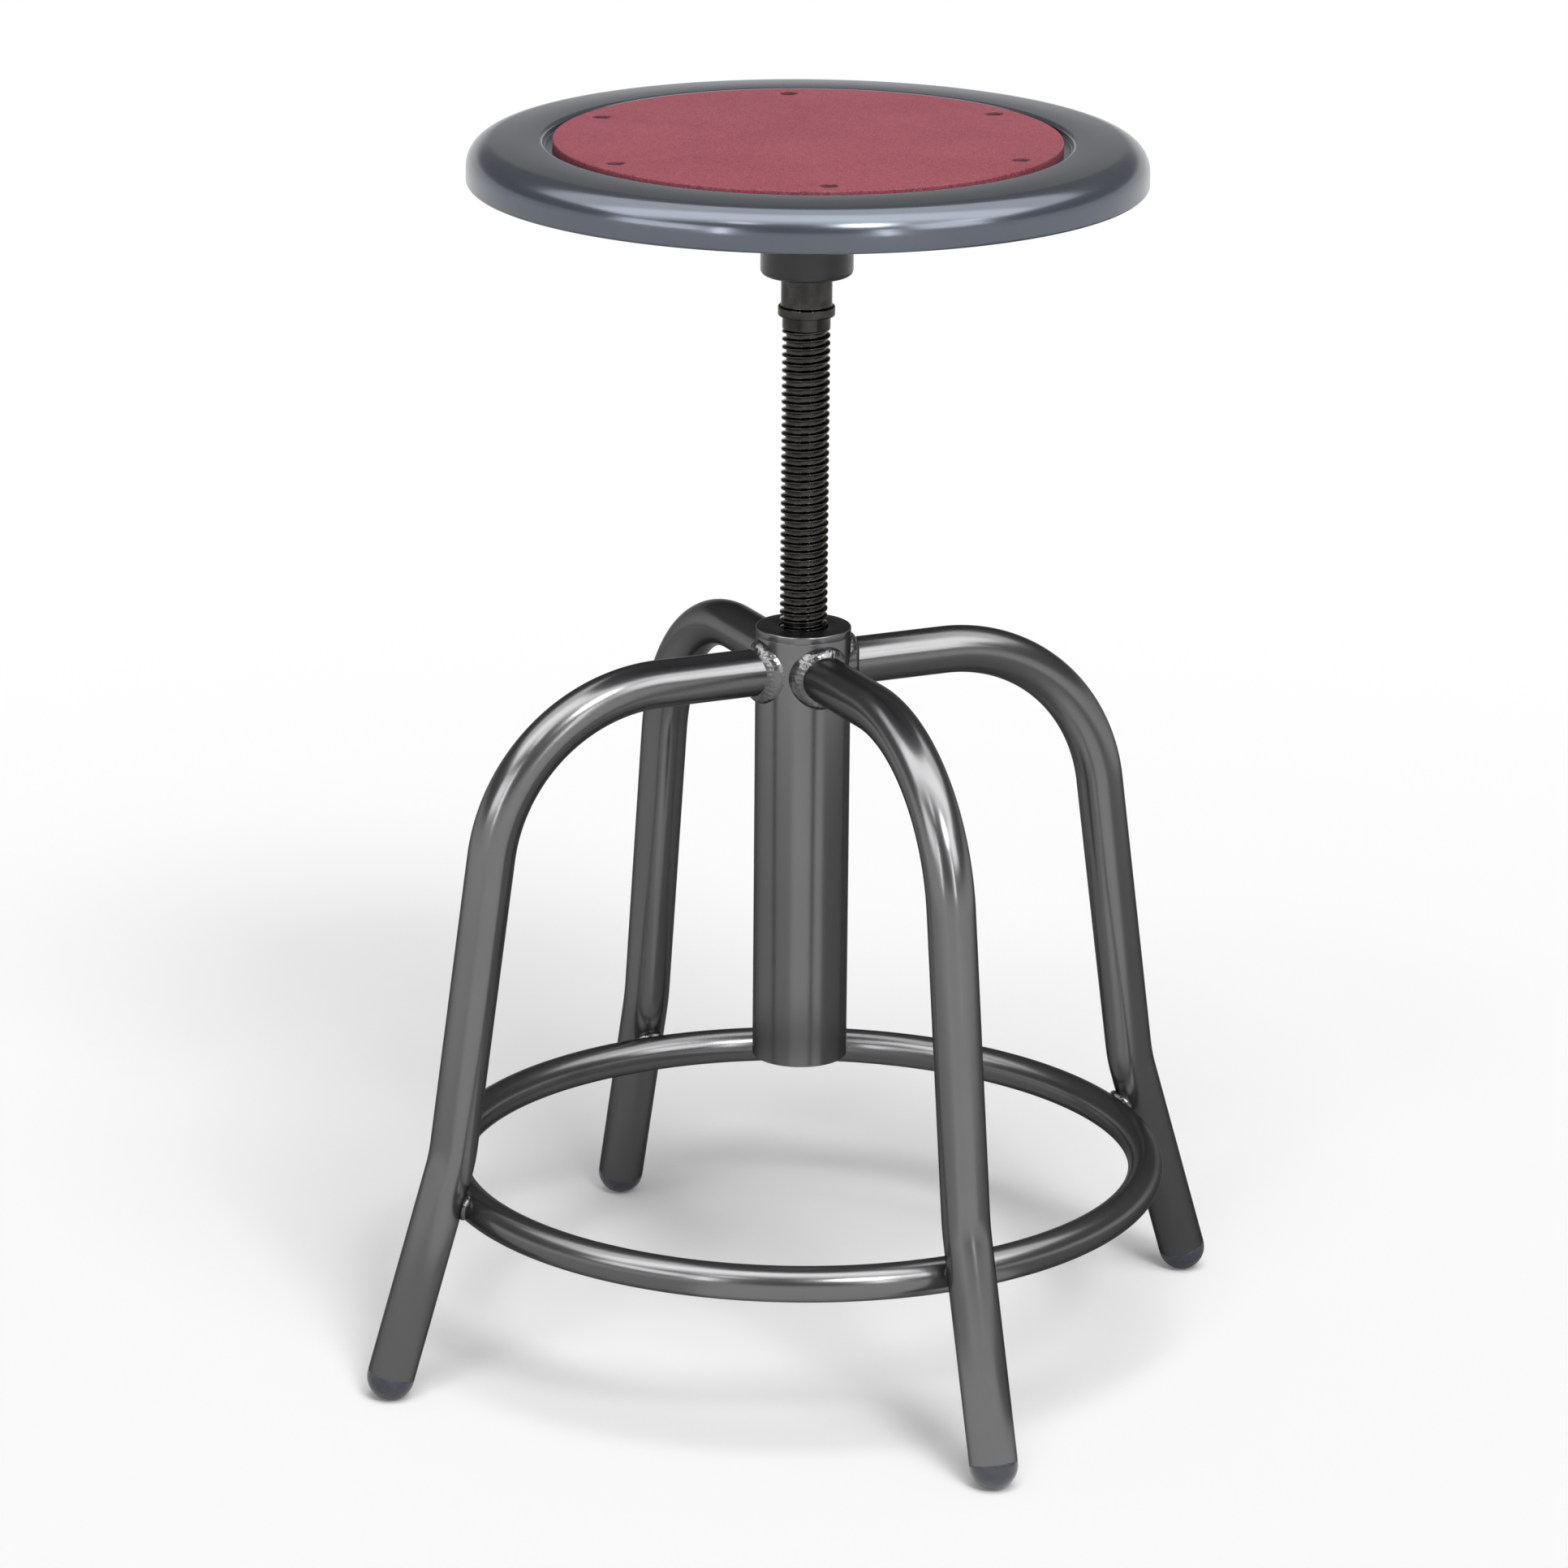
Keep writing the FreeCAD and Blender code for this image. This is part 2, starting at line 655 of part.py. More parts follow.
# Ring welds: a ball of weld where ring and leg come closest, less both tubes
ring_welds = []
contact_x = worked("ring_contact_x", ring_centre + (ring_tube + ring_gap / 2) * cosine(leg_splay))
contact_z = worked("ring_contact_z", ring_height + (ring_tube + ring_gap / 2) * sine(leg_splay))
lower_straight = worked("lower_straight", (kink_height - foot_height) / cosine(leg_splay) - kink_reach)
for number in range(1, 5):
    ball = primitive("Sphere", "ring_weld_ball_%d" % number, Radius=ring_weld)
    move(ball, contact_x, ZERO, contact_z)
    hoop_tool = primitive("Torus", "ring_weld_hoop_%d" % number, Radius1=ring_centre, Radius2=ring_tube)
    move(hoop_tool, ZERO, ZERO, ring_height)
    leg_tool = primitive("Cylinder", "ring_weld_leg_%d" % number, Radius=leg_radius, Height=lower_straight)
    move(leg_tool, foot_x, ZERO, foot_height, FreeCAD.Rotation(Vector(0, -1, 0), leg_splay.number))
    leg_tool.setExpression("Placement.Rotation.Angle", leg_splay.formula)
    without_hoop = difference("ring_weld_less_hoop_%d" % number, ball, hoop_tool)
    weld = difference("ring_weld_%d" % number, without_hoop, leg_tool)
    turn_about_z(weld, leg_azimuth + as_size(90.0 * number))
    ring_welds.append(weld)
group("ring_welds", ring_welds)


# Thrust bearing: two grooved races, a cage and its balls
def race(label, inner, outer, low, high):
    body = new_body(label)
    turned(body, "ring", ring_corners(inner, outer, low, high))
    doc.recompute()
    groove = new_sketch(body, "XZ_Plane", "groove_outline")
    circle(groove, ball_circle, ball_height, ball_radius + ball_gap)
    cut = add_feature(body, "Groove", "track", groove)
    cut.ReferenceAxis = (groove, ["V_Axis"])
    cut.Angle = 360.0
    return body


race("lower_race", spindle_radius, hub_bore - race_gap, neck_top, neck_top + race_thickness)
race("upper_race", spindle_radius + upper_race_bore_gap, hub_bore, race_top - race_thickness, race_top)

cage_ring = doc.addObject("PartDesign::Body", "cage_ring_body")
turned(cage_ring, "ring", ring_corners(ball_circle - cage_width, ball_circle + cage_width,
                                       ball_height - cage_thickness / 2, ball_height + cage_thickness / 2))
pockets = []
balls = []
for number in range(int(ball_count.number)):
    angle = as_size(360.0 * number) / ball_count
    spot = (ball_circle * cosine(angle), ball_circle * sine(angle), ball_height)
    pocket = primitive("Sphere", "cage_pocket_%d" % (number + 1), Radius=ball_radius + cage_gap)
    move(pocket, *spot)
    pockets.append(pocket)
    ball = primitive("Sphere", "ball_%d" % (number + 1), Radius=ball_radius)
    move(ball, *spot)
    balls.append(ball)
pocket_group = doc.addObject("Part::Compound", "cage_pockets")
pocket_group.Links = pockets
cage = difference("bearing_cage", cage_ring, pocket_group)
cage.Label = "bearing_cage"
pieces.append(cage)
group("bearing_balls", balls)

# Hub housing: bearing bore below, bushing bore in the middle, wider bore on top
hub_mouth = flange_radius + hub_mouth_gap
hub = new_body("hub_housing")
turned(hub, "wall", [
    (hub_bore, hub_bottom),
    (hub_radius - hub_edge, hub_bottom, (hub_radius - hub_edge, hub_bottom + hub_edge, hub_edge)),
    (hub_radius, hub_bottom + hub_edge),
    (hub_radius, hub_top),
    (hub_mouth, hub_top),
    (hub_mouth, bushing_top),
    (bushing_outer, bushing_top),
    (bushing_outer, race_top),
    (hub_bore, race_top),
])

sleeve = new_body("hub_bushing")
turned(sleeve, "sleeve", [
    (bushing_bore, race_top + bushing_back),
    (bushing_outer, race_top + bushing_back),
    (bushing_outer, bushing_top),
    (flange_radius, bushing_top),
    (flange_radius, flange_top),
    (bushing_bore, flange_top),
])

washer("thrust_washer", bushing_bore, flange_radius, flange_top, washer_top)
washer("dust_seal", neck_radius + seal_gap, hub_bore, hub_bottom + seal_inset,
       hub_bottom + seal_inset + seal_thickness)

# Retaining ring: open on one side, seated on the bottom of its groove
snap = washer("retaining_ring", snap_root, snap_root + snap_width, snap_bottom, snap_top)
doc.recompute()
mouth = new_sketch(snap, "XY_Plane", "mouth_outline", (ZERO, ZERO, snap_bottom))
mouth_half = snap_opening / 2
outline(mouth, [
    (ZERO, ZERO - mouth_half),
    (hub_bore, ZERO - mouth_half),
    (hub_bore, mouth_half),
    (ZERO, mouth_half),
])
cut_through(snap, "mouth", mouth)

# Weld fillet between hub and plate
fillet = new_body("hub_weld")
turned(fillet, "bead", [
    (hub_radius, hub_top - hub_weld),
    (hub_radius + hub_weld, hub_top),
    (hub_radius, hub_top),
])

# Seat plate: a square plate with round corners, a middle bore and four stud holes
plate = new_body("seat_plate")
half = plate_side / 2
inset = half - plate_corner
plate_sketch = new_sketch(plate, "XY_Plane", "outline", (ZERO, ZERO, hub_top))
outline(plate_sketch, [
    (ZERO - inset, ZERO - half),
    (inset, ZERO - half, (inset, ZERO - inset, plate_corner)),
    (half, ZERO - inset),
    (half, inset, (inset, inset, plate_corner)),
    (inset, half),
    (ZERO - inset, half, (ZERO - inset, inset, plate_corner)),
    (ZERO - half, inset),
    (ZERO - half, ZERO - inset, (ZERO - inset, ZERO - inset, plate_corner)),
])
pad(plate, "sheet", plate_sketch, plate_thickness)
doc.recompute()
holes = new_sketch(plate, "XY_Plane", "holes", (ZERO, ZERO, hub_top))
circle(holes, ZERO, ZERO, plate_bore)
stud_spots = [
    (stud_offset, stud_offset),
    (ZERO - stud_offset, stud_offset),
    (ZERO - stud_offset, ZERO - stud_offset),
    (stud_offset, ZERO - stud_offset),
]
for x, y in stud_spots:
    circle(holes, x, y, stud_radius + stud_gap)
cut_through(plate, "holes_cut", holes)

# Studs under the pan, with their washers and nuts under the plate
FOUR = as_size(4)
studs = new_body("pan_studs")
stud_sketch = new_sketch(studs, "XY_Plane", "outline", (ZERO, ZERO, plate_top - stud_length))
circle(stud_sketch, stud_offset, stud_offset, stud_radius)
around(studs, pad(studs, "stud", stud_sketch, stud_length), "four", FOUR)

stud_washer_low = worked("stud_washer_bottom", hub_top - stud_washer_thickness)
stud_washers = new_body("stud_washers")
washer_sketch = new_sketch(stud_washers, "XY_Plane", "outline", (ZERO, ZERO, stud_washer_low))
circle(washer_sketch, stud_offset, stud_offset, stud_washer_radius)
circle(washer_sketch, stud_offset, stud_offset, stud_radius + stud_gap)
around(stud_washers, pad(stud_washers, "washer", washer_sketch, stud_washer_thickness), "four", FOUR)

stud_nuts = new_body("stud_nuts")
nut_sketch = new_sketch(stud_nuts, "XY_Plane", "outline", (ZERO, ZERO, stud_washer_low - stud_nut_height))
hexagon(nut_sketch, stud_nut_across, stud_offset, stud_offset)
circle(nut_sketch, stud_offset, stud_offset, stud_radius)
around(stud_nuts, pad(stud_nuts, "nut", nut_sketch, stud_nut_height), "four", FOUR)

# Seat pan: floor, recess wall with rounded bends, flat rim, shoulder and hemmed skirt
pan_inner = pan_radius - pan_wall
inner_shoulder = pan_shoulder - pan_wall
outer_bend = recess_bend
inner_bend = recess_bend - pan_wall
shoulder_x = pan_radius - pan_shoulder
shoulder_z = pan_top - pan_shoulder
bend_x = recess_radius + outer_bend
bend_z = pan_top - outer_bend
foot_bend_x = recess_radius - inner_bend
foot_bend_z = pan_floor + inner_bend
pan = new_body("seat_pan")
turned(pan, "sheet", [
    (ZERO, plate_top),
    (foot_bend_x, plate_top, (foot_bend_x, foot_bend_z, outer_bend)),
    (recess_radius + pan_wall, foot_bend_z),
    (recess_radius + pan_wall, bend_z, (bend_x, bend_z, inner_bend)),
    (bend_x, pan_top - pan_wall),
    (shoulder_x, pan_top - pan_wall, (shoulder_x, shoulder_z, inner_shoulder)),
    (pan_inner, shoulder_z),
    (pan_inner, skirt_bottom + pan_hem),
    (pan_inner - pan_wall, skirt_bottom + pan_hem),
    (pan_inner - pan_wall, skirt_bottom + pan_wall, (pan_inner, skirt_bottom + pan_wall, pan_wall)),
    (pan_inner, skirt_bottom, (pan_inner, skirt_bottom + pan_wall, pan_wall)),
    (pan_radius, skirt_bottom + pan_wall),
    (pan_radius, shoulder_z, (shoulder_x, shoulder_z, pan_shoulder)),
    (shoulder_x, pan_top),
    (bend_x, pan_top, (bend_x, bend_z, outer_bend)),
    (recess_radius, bend_z),
    (recess_radius, foot_bend_z, (foot_bend_x, foot_bend_z, inner_bend)),
    (foot_bend_x, pan_floor),
    (ZERO, pan_floor),
])
doc.recompute()
rivet_x = worked("rivet_x", rivet_circle * cosine(rivet_start))
rivet_y = worked("rivet_y", rivet_circle * sine(rivet_start))
rivet_hole = worked("rivet_hole_radius", rivet_radius + rivet_hole_gap)
pan_hole = new_sketch(pan, "XY_Plane", "rivet_hole", (ZERO, ZERO, pan_floor))
circle(pan_hole, rivet_x, rivet_y, rivet_hole)
around(pan, cut_through(pan, "rivet_hole_cut", pan_hole), "rivet_holes", rivet_count)

# Hardboard panel with a rounded upper edge and countersunk holes
head_reach = rivet_head + rivet_hole_gap
sink_top = worked("countersink_radius", head_reach)
sink_floor = worked("countersink_floor", panel_top - rivet_inset - rivet_head_height)
board = new_body("seat_panel")
turned(board, "board", [
    (ZERO, pan_floor),
    (panel_radius, pan_floor),
    (panel_radius, panel_top - panel_edge, (panel_radius - panel_edge, panel_top - panel_edge, panel_edge)),
    (panel_radius - panel_edge, panel_top),
    (ZERO, panel_top),
])
doc.recompute()


# A piece of the rivet row is turned about the first rivet's own axis
def rivet_feature(body, kind, name, corners):
    sketch = new_sketch(body, "XZ_Plane", name + "_outline", (rivet_x, ZERO, ZERO - rivet_y))
    outline(sketch, corners)
    feature = add_feature(body, kind, name, sketch)
    feature.ReferenceAxis = (sketch, ["V_Axis"])
    feature.Angle = 360.0
    return around(body, feature, name + "_row", rivet_count)


rivet_feature(board, "Groove", "countersink", [
    (ZERO, pan_floor - panel_thickness),
    (rivet_hole, pan_floor - panel_thickness),
    (rivet_hole, sink_floor),
    (sink_top, panel_top - rivet_inset),
    (sink_top, panel_top + panel_thickness),
    (ZERO, panel_top + panel_thickness),
])

rivet_washer_low = worked("rivet_washer_bottom", plate_top - rivet_washer_thickness)
tail_low = worked("rivet_tail_bottom", rivet_washer_low - rivet_tail_height)
rivets = new_body("panel_rivets")
rivet_feature(rivets, "Revolution", "rivet", [
    (ZERO, tail_low),
    (rivet_tail - rivet_tail_height / 2, tail_low),
    (rivet_tail, tail_low + rivet_tail_height / 2),
    (rivet_tail, rivet_washer_low),
    (rivet_radius, rivet_washer_low),
    (rivet_radius, sink_floor),
    (rivet_head, panel_top - rivet_inset),
    (rivet_head - rivet_dish, panel_top - rivet_inset),
    (rivet_radius, panel_top - rivet_inset - rivet_dish),
    (ZERO, panel_top - rivet_inset - rivet_dish),
])

rivet_washers = new_body("rivet_washers")
rivet_feature(rivet_washers, "Revolution", "washer",
              ring_corners(rivet_radius, rivet_washer_radius, rivet_washer_low, plate_top))

doc.recompute()

for item in doc.Objects:
    if "Invalid" in item.State or "Error" in item.State:
        raise RuntimeError("%s could not be worked out: %s" % (item.Name, item.State))
for piece in pieces:
    if piece.Shape.isNull() or not piece.Shape.isValid() or piece.Shape.Volume <= 0:
        raise RuntimeError("%s has no sound shape" % piece.Label)

os.makedirs("parts", exist_ok=True)
for piece in pieces:
    piece.Shape.exportStep("parts/%s.step" % piece.Label)
    box = piece.Shape.BoundBox
    print("%-20s solids %2d  volume %10.1f  z %7.2f to %7.2f" % (
        piece.Label, len(piece.Shape.Solids), piece.Shape.Volume, box.ZMin, box.ZMax))
print("seat height %.1f  foot ring centre radius %.2f  foot radius %.2f" % (
    pan_top.number, ring_centre.number, foot_x.number))
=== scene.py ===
import bpy
import bmesh
import math
import random
from mathutils import Matrix, Vector


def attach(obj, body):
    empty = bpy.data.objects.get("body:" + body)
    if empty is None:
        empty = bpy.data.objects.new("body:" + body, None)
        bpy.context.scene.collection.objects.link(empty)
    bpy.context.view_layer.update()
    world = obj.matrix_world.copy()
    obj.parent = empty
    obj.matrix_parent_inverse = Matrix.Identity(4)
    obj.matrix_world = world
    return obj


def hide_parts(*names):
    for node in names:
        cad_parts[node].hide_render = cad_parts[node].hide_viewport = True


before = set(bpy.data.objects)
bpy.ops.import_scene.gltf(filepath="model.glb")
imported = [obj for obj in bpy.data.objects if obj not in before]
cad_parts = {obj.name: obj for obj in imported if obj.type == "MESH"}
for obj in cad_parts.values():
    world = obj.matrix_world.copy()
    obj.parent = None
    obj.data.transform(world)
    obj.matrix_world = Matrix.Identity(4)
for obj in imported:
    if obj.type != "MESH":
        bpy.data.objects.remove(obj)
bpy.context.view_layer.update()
mm = 0.001
axisX, axisY, axisZ = Vector((1, 0, 0)), Vector((0, 1, 0)), Vector((0, 0, 1))
print("frame loaded")


# A shader socket that takes arithmetic
class Wire:
    def __init__(self, tree, socket):
        self.tree = tree
        self.socket = socket

    def calc(self, operation, *values):
        return makeNode(self.tree, "Math", {"operation": operation}, dict(enumerate(values)))

    def __add__(self, other):
        return self.calc("ADD", self, other)

    def __sub__(self, other):
        return self.calc("SUBTRACT", self, other)

    def __rsub__(self, other):
        return self.calc("SUBTRACT", other, self)

    def __mul__(self, other):
        return self.calc("MULTIPLY", self, other)

    __radd__ = __add__
    __rmul__ = __mul__

    # 0 at low, 1 at high, held between
    def between(self, low, high):
        return makeNode(self.tree, "MapRange", {}, {0: self, 1: low, 2: high})


# A node by its type, with its settings and the values or links of its sockets
def makeNode(tree, kind, settings, sockets, output=0):
    node = tree.nodes.new("ShaderNode" + kind)
    for name, value in settings.items():
        setattr(node, name, value)
    for name, value in sockets.items():
        feed(tree, node.inputs[name], value)
    return Wire(tree, node.outputs[output])


def feed(tree, socket, value):
    if isinstance(value, Wire):
        tree.links.new(value.socket, socket)
    elif isinstance(value, tuple) and socket.type == "RGBA":
        socket.default_value = value[:3] + (1.0,)
    else:
        socket.default_value = value


class Material:
    def __init__(self, name, **values):
        self.data = bpy.data.materials.new(name)
        self.data.use_nodes = True
        self.tree = self.data.node_tree
        self.shader = self.tree.nodes["Principled BSDF"]
        self.place = self.node("TexCoord", output="Object")
        for key, value in values.items():
            self.set(key.replace("_", " "), value)

    def node(self, kind, settings=None, sockets=None, output=0):
        return makeNode(self.tree, kind, settings or {}, sockets or {}, output)

    def set(self, name, value):
        feed(self.tree, self.shader.inputs[name], value)

    # Cloudy pattern with features of the given size in millimetres, drawn out along the axes by stretch
    def noise(self, size, detail=2.0, roughness=0.5, stretch=(1, 1, 1)):
        place = self.node("Mapping", {}, {"Vector": self.place, "Scale": tuple(1 / part for part in stretch)})
        sockets = {"Vector": place, "Scale": 1 / (size * mm), "Detail": detail, "Roughness": roughness}
        return self.node("TexNoise", {}, sockets)

    def mix(self, factor, first, second):
        return self.node("Mix", {"data_type": "RGBA"}, {0: factor, 6: first, 7: second}, 2)

    def bump(self, height, depth):
        self.set("Normal", self.node("Bump", {}, {"Height": height, "Distance": depth * mm}))

    # Roughness in clouds: least, and up to spread more
    def dull(self, least, spread, size, detail=2.0, stretch=(1, 1, 1)):
        self.set("Roughness", self.noise(size, detail, stretch=stretch) * spread + least)

    # Base colour that drifts by a share up and down
    def drift(self, color, share, size):
        light = tuple(min(1.0, part * (1 + share)) for part in color)
        dark = tuple(part * (1 - share) for part in color)
        self.set("Base Color", self.mix(self.noise(size, 4.0, 0.6).between(0.35, 0.65), dark, light))


# Painted frame tubes: dark grey gloss, clouded a little, with a very faint orange peel
framePaintLook = {"color": (0.18, 0.18, 0.182), "roughness": 0.215, "clouds": 0.03, "edge": 0.28, "peel": 0.001}
framePaint = Material("framePaint", Metallic=0.92, Specular_Tint=(framePaintLook["edge"],) * 3)
framePaint.drift(framePaintLook["color"], 0.03, 60.0)
framePaint.dull(framePaintLook["roughness"], framePaintLook["clouds"], 40.0, 3.0)
framePaint.bump(framePaint.noise(2.4) + framePaint.noise(0.5, 1.0) * 0.12, framePaintLook["peel"])

# The same paint over weld beads: thicker and more uneven
weldPaintLook = {"color": (0.17, 0.17, 0.172), "roughness": 0.17, "edge": 0.5, "lumps": 0.3}
weldPaint = Material("weldPaint", Metallic=0.9, Roughness=weldPaintLook["roughness"],
                     Specular_Tint=(weldPaintLook["edge"],) * 3)
weldPaint.drift(weldPaintLook["color"], 0.1, 6.0)
weldPaint.bump(weldPaint.noise(1.6, 3.0), weldPaintLook["lumps"])

# Seat pan: blue-grey gloss enamel
panPaintLook = {"color": (0.105, 0.118, 0.143), "roughness": 0.175, "clouds": 0.05, "peel": 0.006}
panPaint = Material("panPaint", Metallic=0.6, Specular_IOR_Level=0.8)
panPaint.drift(panPaintLook["color"], 0.03, 60.0)
panPaint.dull(panPaintLook["roughness"], panPaintLook["clouds"], 40.0, 3.0)
panPaint.bump(panPaint.noise(2.6, 1.0), panPaintLook["peel"])

# Hardboard: pressed fibre under burgundy paint, with a fine pebbled face
boardLook = {
    "dark": (0.19, 0.038, 0.053), "light": (0.39, 0.1, 0.13), "grain": 1.0, "roughness": 0.55, "pebbles": 0.12,
}
board = Material("boardPaint", Roughness=boardLook["roughness"], Specular_IOR_Level=0.15)
grain = board.noise(boardLook["grain"], 3.0, 0.7)
tone = grain * 0.75 + board.noise(3.5, 2.0) * 0.15 + board.noise(55.0, 3.0) * 0.1
board.set("Base Color", board.mix(tone.between(0.4, 0.6), boardLook["dark"], boardLook["light"]))
board.bump(grain + board.noise(0.4, 1.0) * 0.4, boardLook["pebbles"])

# Blacked screw steel, oiled, with a turned grain
screwBlackLook = {"color": (0.05, 0.049, 0.047), "edge": (0.7, 0.68, 0.64), "roughness": 0.08, "clouds": 0.08}
screwBlack = Material("screwBlack", Metallic=1.0, Specular_Tint=screwBlackLook["edge"])
screwBlack.drift(screwBlackLook["color"], 0.25, 8.0)
screwBlack.dull(screwBlackLook["roughness"], screwBlackLook["clouds"], 3.0, 3.0, (6, 6, 1))
screwBlack.bump(screwBlack.noise(0.6, stretch=(5, 5, 1)), 0.005)

# Hub: satin black enamel
hubBlackLook = {"color": (0.026, 0.026, 0.027), "roughness": 0.26, "clouds": 0.1}
hubBlack = Material("hubBlack", Metallic=0.2, Specular_IOR_Level=0.5)
hubBlack.drift(hubBlackLook["color"], 0.12, 20.0)
hubBlack.dull(hubBlackLook["roughness"], hubBlackLook["clouds"], 6.0, 3.0)
hubBlack.bump(hubBlack.noise(1.2), 0.012)

# Glides: dark nylon
glideNylonLook = {"color": (0.042, 0.045, 0.058), "roughness": 0.2}
glideNylon = Material("glideNylon", Roughness=glideNylonLook["roughness"], IOR=1.53, Coat_Weight=0.2,
                      Coat_Roughness=0.1)
glideNylon.drift(glideNylonLook["color"], 0.15, 5.0)
glideNylon.bump(glideNylon.noise(1.5), 0.02)

# Plated steel, rivet steel with paint on it, bearing steel, bronze and rubber
zinc = Material("zincPlate", Metallic=1.0)
zinc.drift((0.48, 0.47, 0.44), 0.15, 4.0)
zinc.dull(0.25, 0.2, 1.5, 3.0)
zinc.bump(zinc.noise(0.8), 0.01)
rivetSteel = Material("rivetSteel", Metallic=0.8, Specular_Tint=(0.6, 0.5, 0.5))
rivetSteel.drift((0.16, 0.075, 0.095), 0.25, 2.5)
rivetSteel.dull(0.25, 0.2, 0.9, 3.0)
rivetSteel.bump(rivetSteel.noise(0.7), 0.02)
steel = Material("bearingSteel", Metallic=1.0)
steel.drift((0.55, 0.55, 0.56), 0.08, 5.0)
steel.dull(0.14, 0.12, 2.0, stretch=(8, 8, 1))
bronze = Material("bushingBronze", Metallic=1.0)
bronze.drift((0.55, 0.34, 0.13), 0.2, 5.0)
bronze.dull(0.3, 0.2, 1.5, 3.0)
rubber = Material("sealRubber", Specular_IOR_Level=0.3)
rubber.drift((0.015, 0.015, 0.016), 0.3, 3.0)
rubber.dull(0.5, 0.2, 1.2, 3.0)
rubber.bump(rubber.noise(0.6), 0.02)
print("materials made")


# Modelling steps. All shapes are given in millimetres
def only(*pieces):
    bpy.ops.object.select_all(action="DESELECT")
    for piece in pieces:
        piece.select_set(True)
    bpy.context.view_layer.objects.active = pieces[0]


def editing(on):
    bpy.ops.object.mode_set(mode="EDIT" if on else "OBJECT")


# Selects the vertices whose place in millimetres passes the test
def pick(test):
    work = bmesh.from_edit_mesh(bpy.context.object.data)
    for part in list(work.faces) + list(work.edges) + list(work.verts):
        part.select = False
    for vert in work.verts:
        vert.select = test(vert.co / mm)
    work.select_flush(True)
    bmesh.update_edit_mesh(bpy.context.object.data)


def pickEnd(end, along):
    pick(lambda co: abs((co - end).dot(along)) < 0.01)


def push(step):
    bpy.ops.mesh.extrude_region_move(TRANSFORM_OT_translate={"value": step * mm})


def apply(piece):
    only(piece)
    bpy.ops.object.transform_apply(location=True, rotation=True, scale=True)


# Merges doubles and turns all faces outwards
def clean():
    bpy.ops.mesh.select_all(action="SELECT")
    bpy.ops.mesh.remove_doubles(threshold=1e-6)
    bpy.ops.mesh.normals_make_consistent(inside=False)


def named(name):
    piece = bpy.context.object
    piece.name = piece.data.name = name
    return piece


# Draws a wire through corners of (radius, height, rounding) and rounds them. The piece stays in edit mode
def drawSection(name, corners, closed=True, steps=6):
    bpy.ops.object.select_all(action="DESELECT")
    bpy.ops.mesh.primitive_plane_add(size=mm, location=(0, 0, 0))
    piece = named(name)
    editing(True)
    bpy.ops.mesh.merge(type="CENTER")
    spots = [Vector((corner[0], 0, corner[1])) for corner in corners]
    bpy.ops.transform.translate(value=spots[0] * mm)
    for before, after in zip(spots, spots[1:]):
        push(after - before)
    if closed:
        pick(lambda co: min((co - spots[0]).length, (co - spots[-1]).length) < 1e-4)
        bpy.ops.mesh.edge_face_add()
    for number, corner in enumerate(corners):
        if len(corner) > 2:
            here = spots[number]
            after = spots[(number + 1) % len(spots)]
            half = (spots[number - 1] - here).angle(after - here) / 2
            pick(lambda co: (co - here).length < 1e-4)
            bpy.ops.mesh.bevel(offset=corner[2] / math.tan(half) * mm, segments=steps, affect="VERTICES")
    return piece


# Turns a drawn section once round the Z axis
def lathe(name, corners, segments=160, closed=True, steps=6):
    piece = drawSection(name, corners, closed, steps)
    bpy.ops.mesh.select_all(action="SELECT")
    bpy.ops.mesh.spin(steps=segments, angle=math.tau, center=(0, 0, 0), axis=(0, 0, 1))
    clean()
    editing(False)
    return piece


# A copy with its own mesh, turned about Z and moved
def copied(piece, name, degrees=0.0, step=(0, 0, 0)):
    only(piece)
    bpy.ops.object.duplicate()
    copy = named(name)
    copy.rotation_euler.z = math.radians(degrees)
    copy.location = Vector(step) * mm
    apply(copy)
    return copy


def joined(pieces, name):
    only(*pieces)
    bpy.ops.object.join()
    return named(name)


def cutAway(piece, tool):
    only(piece)
    cut = piece.modifiers.new("cut", "BOOLEAN")
    cut.operation, cut.solver, cut.object = "DIFFERENCE", "EXACT", tool
    bpy.ops.object.modifier_apply(modifier="cut")
    bpy.data.objects.remove(tool)


# Gives a piece its finish, its body, its slot and the CAD pieces that it stands for
def finish(piece, material, body, nodes, sharp=35.0):
    only(piece)
    bpy.ops.object.shade_smooth_by_angle(angle=math.radians(sharp))
    piece.data.materials.clear()
    piece.data.materials.append(material.data)
    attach(piece, body)
    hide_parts(*nodes)


# Legs: a level run from the column, a bend, a straight leg, a kink and the splayed foot
legs = {
    "height": 378.6, "start": 18.0, "straight": 83.4, "bend": 97.5, "lean": 8.0, "kinkHeight": 130.6,
    "kinkRadius": 100.0, "splay": 17.0, "radius": 12.7, "wall": 1.8, "footHeight": 12.3, "footDepth": 3.0, "rim": 1.0,
    "burr": 0.3, "sides": 64, "bendSteps": 40, "kinkSteps": 12,
}
column = {
    "radius": 25.4, "bottom": 161.5, "top": 401.5, "cap": 4.0, "bore": 22.9, "capBody": 371.5, "mouth": 13.25,
    "mouthDepth": 7.6, "nutBore": 10.88, "legSunk": 1.2, "legCut": 50.0, "sides": 192,
}
lean, splay = math.radians(legs["lean"]), math.radians(legs["splay"])
bendEnd = Vector((legs["straight"] + legs["bend"] * math.cos(lean), 0,
                  legs["height"] - legs["bend"] * (1 - math.sin(lean))))
kinkX = bendEnd.x + (bendEnd.z - legs["kinkHeight"]) * math.tan(lean)
footX = kinkX + (legs["kinkHeight"] - legs["footHeight"]) * math.tan(splay)
corners = {"rear_right": 45.0, "rear_left": 135.0, "front_left": 225.0, "front_right": 315.0}


